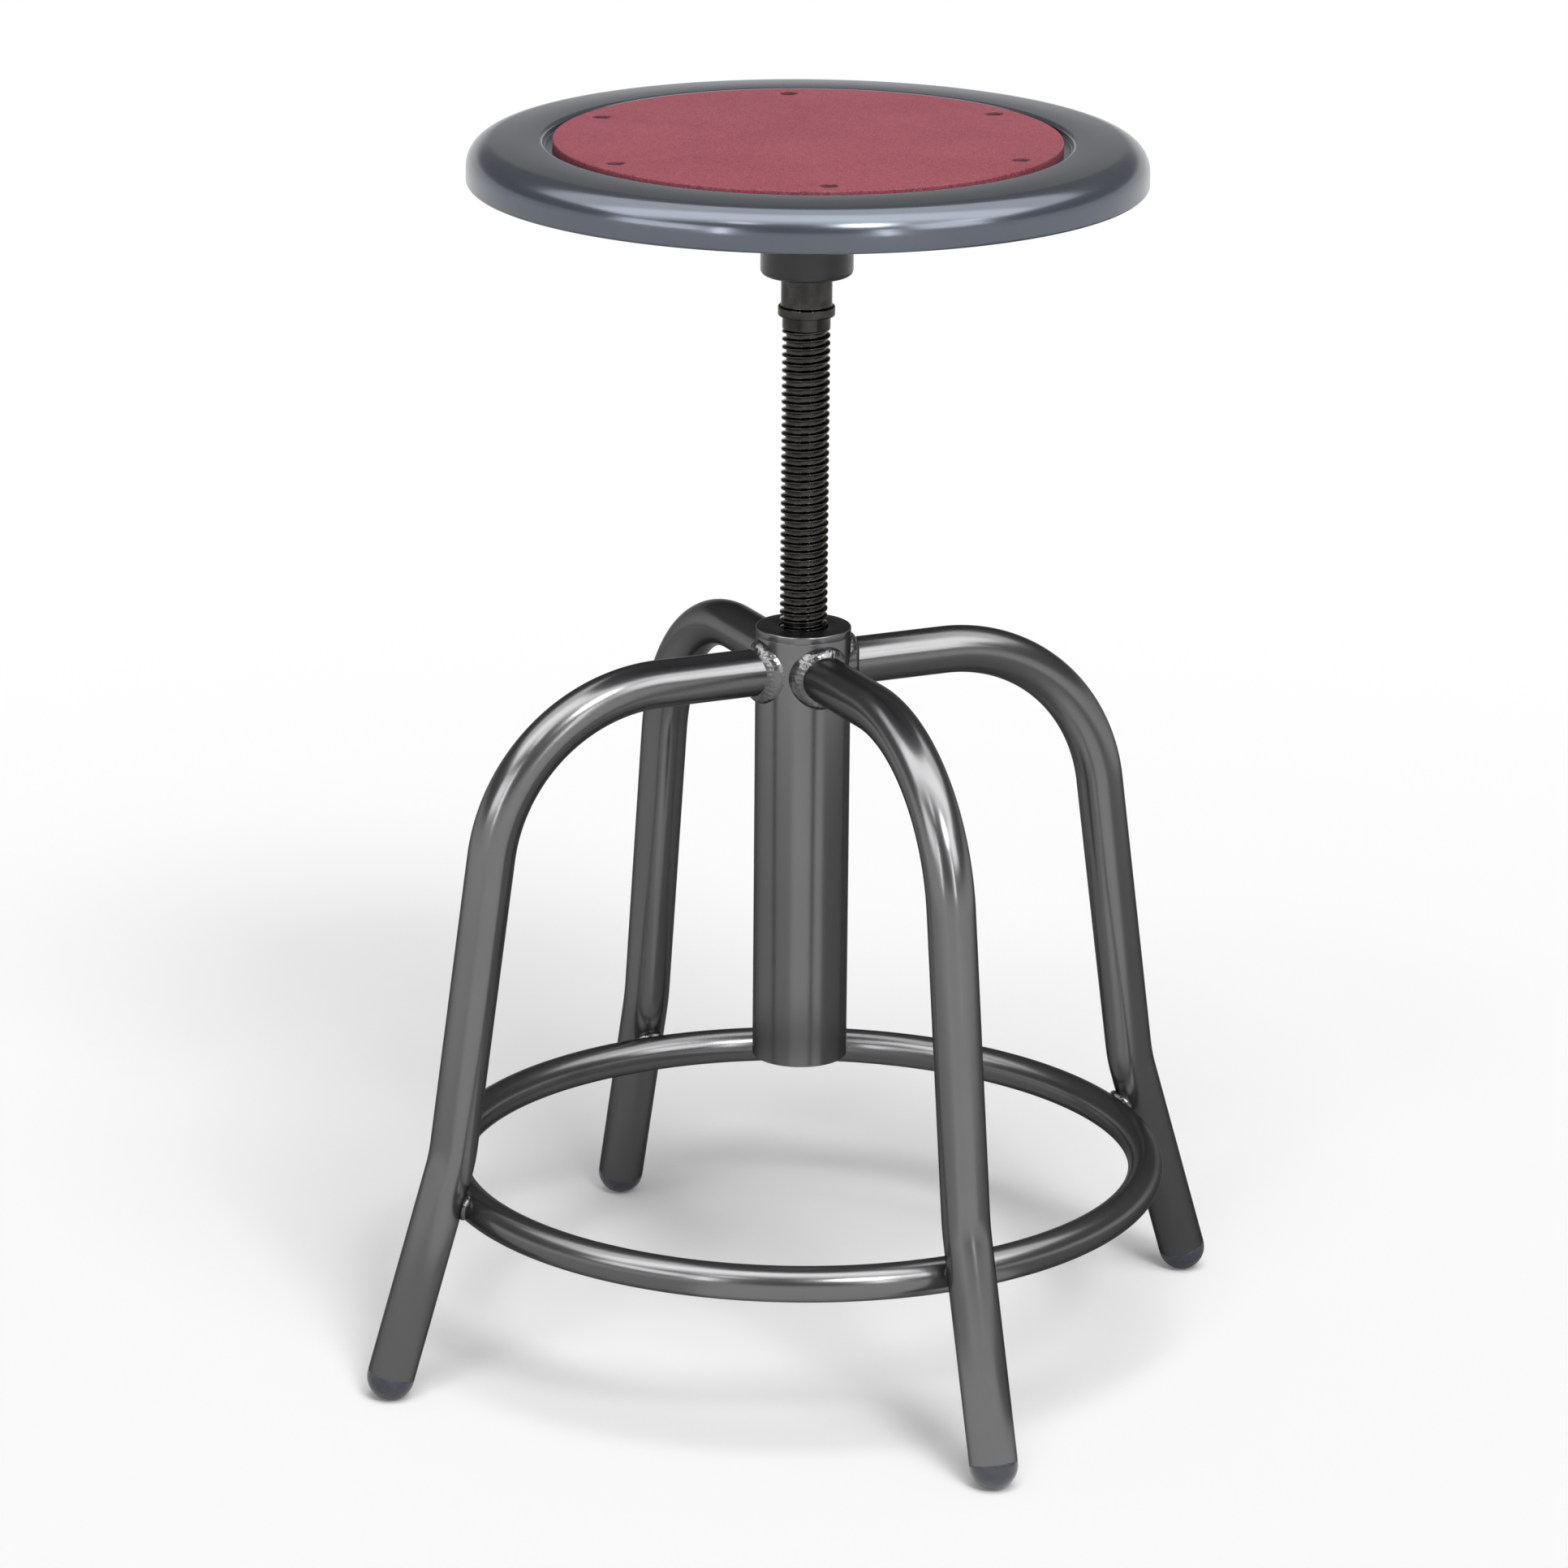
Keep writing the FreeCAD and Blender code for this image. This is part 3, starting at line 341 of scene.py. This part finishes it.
# Down a leg that leans out by the angle, and square to it
def direction(angle):
    return Vector((math.sin(angle), 0, -math.cos(angle)))


def square(angle):
    return Vector((math.cos(angle), 0, math.sin(angle)))


# Bends what is selected about an axis along Y
def bend(degrees, centre, steps):
    bpy.ops.mesh.spin(steps=steps, angle=math.radians(degrees), center=centre * mm, axis=(0, 1, 0))


def makeLegs():
    start = Vector((legs["start"], 0, legs["height"]))
    kink = Vector((kinkX, 0, legs["kinkHeight"]))
    kinkHalf = legs["kinkRadius"] * math.tan((splay - lean) / 2)
    kinkStart = kink - direction(lean) * kinkHalf
    kinkEnd = kink + direction(splay) * kinkHalf
    foot = Vector((footX, 0, legs["footHeight"])) - direction(splay) * legs["rim"]
    bpy.ops.object.select_all(action="DESELECT")
    bpy.ops.mesh.primitive_circle_add(vertices=legs["sides"], radius=legs["radius"] * mm,
                                      rotation=(0, math.pi / 2, 0), location=start * mm)
    tube = named("legTube")
    apply(tube)
    editing(True)
    bpy.ops.mesh.select_all(action="SELECT")
    bpy.ops.mesh.edge_face_add()
    bpy.ops.mesh.delete(type="ONLY_FACE")
    pick(lambda co: True)
    push(axisX * (legs["straight"] - legs["start"]))
    bend(legs["lean"] - 90, Vector((legs["straight"], 0, legs["height"] - legs["bend"])), legs["bendSteps"])
    push(kinkStart - bendEnd)
    bend(legs["splay"] - legs["lean"], kinkStart + square(lean) * legs["kinkRadius"], legs["kinkSteps"])
    push(foot - kinkEnd)
    bpy.ops.mesh.edge_face_add()
    bpy.ops.mesh.bevel(offset=legs["burr"] * mm, segments=2, affect="EDGES")
    pickEnd(foot, direction(splay))
    bpy.ops.mesh.inset(thickness=(legs["wall"] - legs["burr"]) * mm)
    push(direction(splay) * -legs["footDepth"])
    pickEnd(start, axisX)
    bpy.ops.mesh.edge_face_add()
    clean()
    editing(False)
    bpy.ops.object.select_all(action="DESELECT")
    bpy.ops.mesh.primitive_cylinder_add(vertices=column["sides"], radius=(column["radius"] - column["legSunk"]) * mm,
                                        depth=column["legCut"] * mm, location=(0, 0, legs["height"] * mm))
    cutAway(tube, bpy.context.object)
    for corner, azimuth in corners.items():
        leg = copied(tube, "legTube_" + corner, azimuth)
        finish(leg, framePaint, "base", ["leg_" + corner])
    bpy.data.objects.remove(tube)


makeLegs()
print("legs made")

# Glides: a dome with a thin rim under each tube end, cut flat where it meets the floor
glides = {"radius": 12.7, "rim": 1.0, "round": 0.25, "stem": 10.9, "stemLength": 16.0, "stemRound": 1.0, "sides": 72}


def makeGlides():
    radius, rim, stem = glides["radius"], glides["rim"], glides["stem"]
    top = rim + glides["stemLength"]
    dome = lathe("glideDome", [
        (0, -radius), (radius, -radius, radius - 0.001), (radius, rim, glides["round"]), (stem, rim),
        (stem, top, glides["stemRound"]), (0, top),
    ], glides["sides"], closed=False, steps=24)
    dome.rotation_euler.y = -splay
    dome.location = Vector((footX, 0, legs["footHeight"])) * mm
    apply(dome)
    editing(True)
    bpy.ops.mesh.select_all(action="SELECT")
    bpy.ops.mesh.bisect(plane_co=(0, 0, 0), plane_no=(0, 0, -1), use_fill=True, clear_outer=True,
                        threshold=1e-7)
    clean()
    editing(False)
    for corner, azimuth in corners.items():
        glide = copied(dome, "glideDome_" + corner, azimuth)
        finish(glide, glideNylon, "base", ["glide_" + corner], 30)
    bpy.data.objects.remove(dome)


makeGlides()
print("glides made")


# Column and its cap, which has the screw's hole in it
def makeColumn():
    radius, bore, nutBore, mouth = column["radius"], column["bore"], column["nutBore"], column["mouth"]
    top, seam, mouthFloor = column["top"], column["top"] - column["cap"], column["top"] - column["mouthDepth"]
    finish(lathe("columnShell", [
        (bore, column["bottom"], 0.3), (radius, column["bottom"], 0.8), (radius, seam, 0.2), (bore, seam),
    ], column["sides"]), framePaint, "base", ["column_tube"])
    finish(lathe("columnCap", [
        (nutBore, column["capBody"], 0.8), (bore, column["capBody"], 1.0), (bore, seam), (radius, seam, 0.2),
        (radius, top, 0.9), (mouth, top, 0.6), (mouth, mouthFloor), (nutBore, mouthFloor, 0.6),
    ], column["sides"]), framePaint, "base", ["column_nut"])


makeColumn()
print("column made")

# Foot ring: a tube bent to a full circle inside the legs
hoop = {"height": 100.5, "tube": 9.525, "gap": 0.2, "sides": 48, "segments": 288}
legAtRing = kinkX + (legs["kinkHeight"] - hoop["height"]) * math.tan(splay)
hoop["radius"] = legAtRing - (legs["radius"] + hoop["tube"] + hoop["gap"]) / math.cos(splay)


def makeHoop():
    bpy.ops.object.select_all(action="DESELECT")
    bpy.ops.mesh.primitive_circle_add(vertices=hoop["sides"], radius=hoop["tube"] * mm,
                                      rotation=(math.pi / 2, 0, 0),
                                      location=Vector((hoop["radius"], 0, hoop["height"])) * mm)
    tube = named("footHoop")
    apply(tube)
    editing(True)
    bpy.ops.mesh.select_all(action="SELECT")
    bpy.ops.mesh.spin(steps=hoop["segments"], angle=math.tau, center=(0, 0, 0), axis=(0, 0, 1))
    clean()
    editing(False)
    finish(tube, framePaint, "base", ["foot_ring"])


makeHoop()
print("foot ring made")

# Weld beads: a loop of feet (first, last, outward) with a rippled crown between first and last.
# ringGap is how far apart leg and ring are at the bead's edge, and the hub's bead is hollow
welds = {
    "legAlong": 5.0, "legAround": 4.5, "legCrown": 1.1, "legRipples": 34, "ringGap": 3.4, "ringCrown": 0.8,
    "ringRipples": 17, "hub": 5.0, "hubCrown": -0.36, "hubRipples": 40, "smallest": 0.75, "largest": 1.2,
    "ripple": 0.18, "arc": 9, "sunk": 1.5, "bite": 0.1, "ringBite": 0.15, "seed": 11, "hubSeed": 5,
}


# A torus is laid along the joint: most of each ring is the crown, and its last point is sunk in the metal
def bead(name, feet, crown, ripples, seed):
    chance = random.Random(seed)
    wobble = [chance.uniform(welds["smallest"], welds["largest"]) for _ in range(ripples)]
    arc = welds["arc"]
    bpy.ops.object.select_all(action="DESELECT")
    bpy.ops.mesh.primitive_torus_add(major_segments=len(feet), minor_segments=arc + 1,
                                     major_radius=0.02, minor_radius=0.003)
    piece = named(name)
    for number, (first, last, outward) in enumerate(feet):
        phase = number / len(feet) * ripples
        step, part = int(phase), phase % 1
        swell = wobble[step] * (1 - part) + wobble[(step + 1) % ripples] * part
        swell *= 1 - welds["ripple"] + welds["ripple"] * abs(math.sin(math.pi * phase))
        for place in range(arc):
            share = place / (arc - 1)
            spot = first.lerp(last, share) + outward * (crown * swell * 4 * share * (1 - share))
            piece.data.vertices[number * (arc + 1) + place].co = spot * mm
        deep = first.lerp(last, 0.5) - outward * welds["sunk"]
        piece.data.vertices[number * (arc + 1) + arc].co = deep * mm
    editing(True)
    clean()
    editing(False)
    return piece


# Where a line along the leg, moved sideways by spot, meets a cylinder round the column
def onCylinder(radius, spot):
    return Vector((math.sqrt(radius ** 2 - spot.y ** 2), spot.y, legs["height"] + spot.z))


def legWeldFeet(count=180):
    feet = []
    for number in range(count):
        angle = math.tau * number / count
        around = Vector((0, math.cos(angle), math.sin(angle)))
        onLeg = onCylinder(column["radius"], around * (legs["radius"] - welds["bite"])) + axisX * welds["legAlong"]
        onColumn = onCylinder(column["radius"] - welds["bite"], around * (legs["radius"] + welds["legAround"]))
        feet.append((onLeg, onColumn, (around + axisX * 0.8).normalized()))
    return feet


# The bead's edge is sought at each angle by halving: it lies where the gap has the given width
def ringWeldFeet(count=96):
    normal, along = square(splay), -direction(splay)
    middle = Vector((hoop["radius"], 0, hoop["height"]))
    legMiddle = middle + normal * (hoop["tube"] + hoop["gap"] + legs["radius"])

    def surfaces(reach, angle):
        u, v = reach * math.cos(angle), reach * math.sin(angle)
        flat = axisY * u + along * v
        onRing = middle + normal * math.sqrt(hoop["tube"] ** 2 - v * v) + flat
        onRing -= axisX * (u * u / 2 / hoop["radius"])
        onLeg = legMiddle - normal * math.sqrt(legs["radius"] ** 2 - u * u) + flat
        return onRing, onLeg, flat.normalized()

    feet = []
    for number in range(count):
        angle = math.tau * number / count
        low, high = 2.0, 9.3
        for _ in range(20):
            reach = (low + high) / 2
            onRing, onLeg, outward = surfaces(reach, angle)
            if (onLeg - onRing).length < welds["ringGap"]:
                low = reach
            else:
                high = reach
        feet.append((onRing - normal * welds["ringBite"], onLeg + normal * welds["ringBite"], outward))
    return feet


def hubWeldFeet(count=240):
    feet, low, high = [], hub["top"] - welds["hub"], hub["top"] - welds["bite"]
    for number in range(count):
        angle = math.tau * number / count
        out = Vector((math.cos(angle), math.sin(angle), 0))
        onHub = out * (hub["radius"] - welds["bite"]) + axisZ * low
        onPlate = out * (hub["radius"] + welds["hub"]) + axisZ * high
        feet.append((onHub, onPlate, (out - axisZ).normalized()))
    return feet


def makeWelds():
    onColumn, onRing = [], []
    kinds = ((onColumn, legWeldFeet(), welds["legCrown"], welds["legRipples"]),
             (onRing, ringWeldFeet(), welds["ringCrown"], welds["ringRipples"]))
    for number, azimuth in enumerate(corners.values()):
        for group, feet, crown, ripples in kinds:
            loop = bead("bead", feet, crown, ripples, welds["seed"] + number)
            loop.rotation_euler.z = math.radians(azimuth)
            apply(loop)
            group.append(loop)
    finish(joined(onColumn, "columnWeldBeads"), weldPaint, "base", ["column_leg_welds"], 60)
    finish(joined(onRing, "ringWeldBeads"), weldPaint, "base", ["ring_welds"], 60)
    onHub = bead("hubWeldBead", hubWeldFeet(), welds["hubCrown"], welds["hubRipples"], welds["hubSeed"])
    finish(onHub, hubBlack, "seat", ["hub_weld"], 60)


# Hub: the bearing's housing under the seat, bored for the races, the bushing and the washer
hub = {
    "radius": 24.4, "bottom": 591.8, "top": 653.8, "lowBore": 17.6, "topBore": 16.05, "bore": 13.05, "shelf": 618.0,
    "seat": 646.0, "round": 3.0,
}
finish(lathe("hubShell", [
    (hub["lowBore"], hub["bottom"], 0.6), (hub["radius"], hub["bottom"], hub["round"]),
    (hub["radius"], hub["top"]), (hub["topBore"], hub["top"]), (hub["topBore"], hub["seat"]),
    (hub["bore"], hub["seat"]), (hub["bore"], hub["shelf"]), (hub["lowBore"], hub["shelf"]),
]), hubBlack, "seat", ["hub_housing"])
print("hub made")
makeWelds()
print("welds made")

# Lift screw: one spiral ridge with rounded edges, then shank, collar, neck and spindle
screw = {
    "pitch": 4.2333, "start": 355.852, "bottom": 354.5, "shank": 563.0, "collar": 570.0, "collarTop": 575.4,
    "neckTop": 608.0, "top": 653.7, "root": 10.58, "crest": 12.7, "rootHalf": 1.1, "crestHalf": 0.42,
    "rootRound": 0.25, "crestRound": 0.18, "runOut": 2.0, "shankRadius": 12.75, "collarRadius": 15.1,
    "neckRadius": 13.5, "spindle": 10.0, "groove": 9.0, "grooveLow": 650.6, "grooveTop": 651.8, "steps": 64,
}


def makeThread():
    pitch, root, crest = screw["pitch"], screw["root"], screw["crest"]
    rootHalf, crestHalf = screw["rootHalf"], screw["crestHalf"]
    rootRound, crestRound = screw["rootRound"], screw["crestRound"]
    first = screw["start"] - 2 * pitch
    thread = drawSection("screwThread", [
        (root, first - pitch / 2), (root, first - rootHalf, rootRound), (crest, first - crestHalf, crestRound),
        (crest, first + crestHalf, crestRound), (root, first + rootHalf, rootRound), (root, first + pitch / 2),
    ], closed=False, steps=3)
    editing(False)
    wind = thread.modifiers.new("wind", "SCREW")
    wind.axis, wind.angle, wind.screw_offset = "Z", math.tau, pitch * mm
    wind.steps = wind.render_steps = screw["steps"]
    wind.iterations = int((screw["shank"] - first) / pitch) + 3
    bpy.ops.object.modifier_apply(modifier="wind")
    editing(True)
    clean()
    for height, away in ((screw["bottom"], -1), (screw["shank"] + screw["runOut"], 1)):
        bpy.ops.mesh.select_all(action="SELECT")
        bpy.ops.mesh.bisect(plane_co=(0, 0, height * mm), plane_no=(0, 0, away), use_fill=True, clear_outer=True,
                            threshold=1e-7)
    clean()
    editing(False)
    finish(thread, screwBlack, "screw", ["lift_screw"], 60)


def makeScrewHead():
    shank, collar, neck, spindle = screw["shankRadius"], screw["collarRadius"], screw["neckRadius"], screw["spindle"]
    groove, grooveLow, grooveTop = screw["groove"], screw["grooveLow"], screw["grooveTop"]
    finish(lathe("screwHead", [
        (0, screw["shank"]), (shank, screw["shank"], 0.8), (shank, screw["collar"], 0.3),
        (collar, screw["collar"], 0.9), (collar, screw["collarTop"], 0.9), (neck, screw["collarTop"], 0.3),
        (neck, screw["neckTop"], 0.6), (spindle, screw["neckTop"]), (spindle, grooveLow), (groove, grooveLow),
        (groove, grooveTop), (spindle, grooveTop), (spindle, screw["top"], 0.6), (0, screw["top"]),
    ], 128, closed=False), screwBlack, "screw", ["lift_screw"])


makeThread()
makeScrewHead()
print("screw made")

# Seat pan: rolled hem, skirt, rounded shoulder, a rim that falls outwards by crown, and a sunk floor for the panel
pan = {
    "radius": 177.8, "wall": 1.5, "top": 663.3, "floor": 659.3, "bottom": 641.3, "shoulder": 13.5, "recess": 137.4,
    "bend": 2.4, "hem": 5.0, "crown": 0.6,
}


def makePan():
    wall, turn, shoulder, recess = pan["wall"], pan["bend"], pan["shoulder"], pan["recess"]
    top, low, floor, bottom = pan["top"], pan["top"] - pan["crown"], pan["floor"], pan["bottom"]
    outer, inner, hemTop = pan["radius"], pan["radius"] - pan["wall"], pan["bottom"] + pan["hem"]
    finish(lathe("panShell", [
        (0, floor - wall), (recess + wall, floor - wall, turn), (recess + wall, top - wall, turn - wall),
        (inner, low - wall, shoulder - wall), (inner, hemTop, 0.05), (inner - wall, hemTop, 0.4),
        (inner - wall, bottom, wall), (outer, bottom, wall), (outer, low, shoulder), (recess, top, turn),
        (recess, floor, turn - wall), (0, floor),
    ], 288, closed=False, steps=12), panPaint, "seat", ["seat_pan"])


makePan()
print("pan made")

# Hardboard panel and its rivets, with their heads in countersinks
panel = {"radius": 132.8, "bottom": 659.3, "top": 664.1, "edge": 0.9, "circle": 120.0, "first": 54.7, "rivets": 6}
rivet = {
    "head": 4.8, "shank": 2.4, "hole": 2.55, "inset": 0.5, "dish": 0.5, "dishEdge": 0.7, "tail": 4.0,
    "tailLow": 654.4, "tailTop": 656.6, "sink": 4.95, "headHeight": 2.0, "lip": 0.3,
}


def rivetSpots():
    for number in range(panel["rivets"]):
        angle = math.radians(panel["first"] + 360 / panel["rivets"] * number)
        yield panel["circle"] * math.cos(angle), panel["circle"] * math.sin(angle), 0


def atRivets(piece, name):
    group = joined([copied(piece, name, 0, spot) for spot in rivetSpots()], name)
    bpy.data.objects.remove(piece)
    return group


def makePanel():
    radius, bottom, top = panel["radius"], panel["bottom"], panel["top"]
    head = top - rivet["inset"]
    floor, dish = head - rivet["headHeight"], head - rivet["dish"]
    hole, sink, lip = rivet["hole"], rivet["sink"], rivet["lip"]
    shank, tail = rivet["shank"], rivet["tail"]
    sheet = lathe("panelBoard", [
        (0, bottom), (radius, bottom, 0.3), (radius, top, panel["edge"]), (0, top),
    ], 288, closed=False)
    cutAway(sheet, atRivets(lathe("sinks", [
        (0, bottom - 2), (hole, bottom - 2), (hole, floor), (sink, head), (sink, top - lip), (sink + lip, top),
        (sink + lip, top + 1), (0, top + 1),
    ], 48, closed=False), "sinks"))
    finish(sheet, board, "seat", ["seat_panel"], 30)
    finish(atRivets(lathe("oneRivet", [
        (0, rivet["tailLow"]), (tail, rivet["tailLow"], 1.0), (tail, rivet["tailTop"], 0.2),
        (shank, rivet["tailTop"]), (shank, floor), (rivet["head"], head, 0.15),
        (rivet["head"] - rivet["dishEdge"], head, 0.3), (shank, dish, 0.5), (0, dish),
    ], 48, closed=False), "rivetHeads"), rivetSteel, "seat", ["panel_rivets"], 30)


makePanel()
print("panel made")

# CAD pieces that stay as they are, with their own finish
finishes = {
    "guide_disc": glideNylon, "stop_washer": zinc, "stop_bolt": zinc, "lower_race": steel, "retaining_ring": steel,
    "bearing_cage": steel, "bearing_balls": steel, "hub_bushing": bronze, "upper_race": steel, "dust_seal": rubber,
    "thrust_washer": steel, "seat_plate": hubBlack, "pan_studs": zinc, "stud_washers": zinc, "stud_nuts": zinc,
    "rivet_washers": zinc,
}
for name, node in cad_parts.items():
    for slot in node.material_slots:
        slot.material = finishes.get(name, framePaint).data
print("CAD pieces finished")

# Surroundings and lights. The world is bright below horizonFrom and dim above horizonTo, by the sine of the height.
# The floor turns white with its distance in metres. Seen in gloss only, it is mixed towards black outside a band of
# azimuths in degrees, out to a reach in metres, keeping the shares leftOf and rightOf on each side: painted shade in
# the reflections, standing in for dark surroundings.
# Suns: azimuth, height and width across in degrees, strength.
# Soft boxes: azimuth and height from the seat in degrees, distance, width and depth in metres, radiance
studio = {
    "world": 0.2, "glossyWorld": 0.14, "horizon": 0.9, "horizonFrom": 0.15, "horizonTo": 0.19,
    "floor": 0.96, "floorRadius": 60.0, "floorDrop": 0.3, "floorWhite": 0.12, "whiteFrom": 0.6, "whiteTo": 1.5,
    # Painted shade in reflections: the band of azimuths, its softness, the shares kept on each side and the reach,
    # seen only by glossy rays
    "paintedReflectionFrom": -3.4, "paintedReflectionTo": 71.6, "paintedReflectionSoft": 2.0, "leftOf": 0.6, "rightOf": 0.3,
    "paintedReflectionReach": 1.6, "reachSoft": 0.2,
    "suns": {
        "keyLight": (42, 42, 15, 1.1),
        "fillLight": (-7, 46, 8, 0.12),
        "topLight": (30, 64, 38, 1.8),
    },
    "boxes": {
        "topBox": (22, 70, 1.35, 4.2, 0.8, 2.0),
        "topWash": (22, 84, 1.3, 4.4, 2.2, 2.2),
        "rightBox": (68, 23, 2.3, 1.0, 0.9, 4.3),
        "leftBox": (-29.4, 13, 2.3, 1.2, 0.7, 3.8),
        "rightStrip": (45, 9, 2.3, 0.12, 0.9, 14.0),
        "leftStrip": (-8, 9, 2.3, 0.12, 0.9, 14.0),
    },
}


def ray(tree, kind):
    return makeNode(tree, "LightPath", {}, {}, kind)


def directions(tree, source):
    place = makeNode(tree, "TexCoord", {}, {}, source)
    return [makeNode(tree, "SeparateXYZ", {}, {"Vector": place}, axis) for axis in "XYZ"]


def makeWorld():
    world = bpy.data.worlds.new("studioWorld")
    bpy.context.scene.world = world
    world.use_nodes = True
    tree = world.node_tree
    feed(tree, tree.nodes["Background"].inputs["Color"], (1.0, 1.0, 1.0))
    low = 1 - directions(tree, "Generated")[2].between(studio["horizonFrom"], studio["horizonTo"])
    base = ray(tree, "Is Glossy Ray") * (studio["glossyWorld"] - studio["world"]) + studio["world"]
    level = low * (studio["horizon"] - studio["world"]) + base
    level = level.calc("MAXIMUM", level, ray(tree, "Is Camera Ray"))
    feed(tree, tree.nodes["Background"].inputs["Strength"], level)


def makeFloor():
    bpy.ops.object.select_all(action="DESELECT")
    bpy.ops.mesh.primitive_circle_add(vertices=64, radius=studio["floorRadius"], fill_type="NGON",
                                      location=(0, 0, -studio["floorDrop"] * mm))
    floor = named("studioFloor")
    apply(floor)
    material = bpy.data.materials.new("studioFloor")
    material.use_nodes = True
    floor.data.materials.append(material)
    tree = material.node_tree
    tree.nodes.remove(tree.nodes["Principled BSDF"])
    x, y, _ = directions(tree, "Object")
    turn = x.calc("ARCTAN2", x, 0 - y) * math.degrees(1)
    soft = studio["paintedReflectionSoft"]
    left = 1 - turn.between(studio["paintedReflectionFrom"] - soft, studio["paintedReflectionFrom"] + soft)
    right = turn.between(studio["paintedReflectionTo"] - soft, studio["paintedReflectionTo"] + soft)
    reach = x.calc("SQRT", x * x + y * y)
    near = 1 - reach.between(studio["paintedReflectionReach"], studio["paintedReflectionReach"] + studio["reachSoft"])
    outside = left * (1 - studio["leftOf"]) + right * (1 - studio["rightOf"])
    # Painted shade in reflections: glossy rays see the floor mixed towards black outside the band
    dim = outside * near * ray(tree, "Is Glossy Ray")
    lit = makeNode(tree, "BsdfDiffuse", {}, {"Color": (studio["floor"],) * 3})
    white = makeNode(tree, "Emission", {}, {"Color": (1.0, 1.0, 1.0)})
    black = makeNode(tree, "BsdfDiffuse", {}, {"Color": (0.0, 0.0, 0.0)})
    share = reach.between(studio["whiteFrom"], studio["whiteTo"])
    share = share * (1 - studio["floorWhite"]) + studio["floorWhite"]
    seen = ray(tree, "Is Camera Ray") + ray(tree, "Is Glossy Ray")
    shown = makeNode(tree, "MixShader", {}, {0: share * seen, 1: lit, 2: white})
    shown = makeNode(tree, "MixShader", {}, {0: dim, 1: shown, 2: black})
    feed(tree, tree.nodes["Material Output"].inputs["Surface"], shown)


# The way from the seat to a lamp, with azimuth 0 in front and 90 to the right
def toward(azimuth, height):
    a, e = math.radians(azimuth), math.radians(height)
    return Vector((math.sin(a) * math.cos(e), -math.cos(a) * math.cos(e), math.sin(e)))


def addLamp(name, kind, azimuth, height):
    light = bpy.data.lights.new(name, kind)
    lamp = bpy.data.objects.new(name, light)
    bpy.context.scene.collection.objects.link(lamp)
    lamp.rotation_euler = toward(azimuth, height).to_track_quat("Z", "Y").to_euler()
    return light, lamp


# The suns give the light and the shadows, and the wide one shows in no gloss. The boxes show only in gloss
def makeLights():
    for name, (azimuth, height, width, strength) in studio["suns"].items():
        light, lamp = addLamp(name, "SUN", azimuth, height)
        light.energy, light.angle = strength, math.radians(width)
        lamp.visible_glossy = name != "topLight"
    for name, (azimuth, height, distance, width, depth, radiance) in studio["boxes"].items():
        light, lamp = addLamp(name, "AREA", azimuth, height)
        light.shape, light.size, light.size_y = "RECTANGLE", width, depth
        light.energy = radiance * math.pi * width * depth
        lamp.location = axisZ * (pan["top"] * mm) + toward(azimuth, height) * distance
        lamp.visible_camera = lamp.visible_diffuse = False


makeWorld()
makeFloor()
makeLights()

# Camera: fitted to the photograph, then turned with the legs onto the diagonals
# Focal length and frame in pixels of the photograph, sensor in millimetres, place in metres
view = {
    "focal": 8229.08, "frame": 1932.0, "sensor": 36.0, "distance": 3.41479, "height": 1.3571, "turn": 19.6,
    "yaw": -0.0028, "pitch": 0.2967, "roll": 0.0090,
}


def makeCamera():
    yaw, pitch, roll = view["yaw"], view["pitch"], view["roll"]
    forward = Vector((math.sin(yaw) * math.cos(pitch), math.cos(yaw) * math.cos(pitch), -math.sin(pitch)))
    right = forward.cross(axisZ).normalized()
    up = right.cross(forward)
    right, up = right * math.cos(roll) + up * math.sin(roll), up * math.cos(roll) - right * math.sin(roll)
    pose = Matrix((right, up, -forward)).transposed().to_4x4()
    pose.translation = Vector((0, -view["distance"], view["height"]))
    data = bpy.data.cameras.new("camera")
    data.sensor_width = view["sensor"]
    data.lens = view["focal"] / view["frame"] * view["sensor"]
    data.clip_start, data.clip_end = 0.05, 200.0
    camera = bpy.data.objects.new("camera", data)
    bpy.context.scene.collection.objects.link(camera)
    camera.matrix_world = Matrix.Rotation(math.radians(view["turn"]), 4, "Z") @ pose
    bpy.context.scene.camera = camera


makeCamera()
bpy.context.scene.view_settings.view_transform = "Standard"
print("studio made")

bpy.context.view_layer.update()
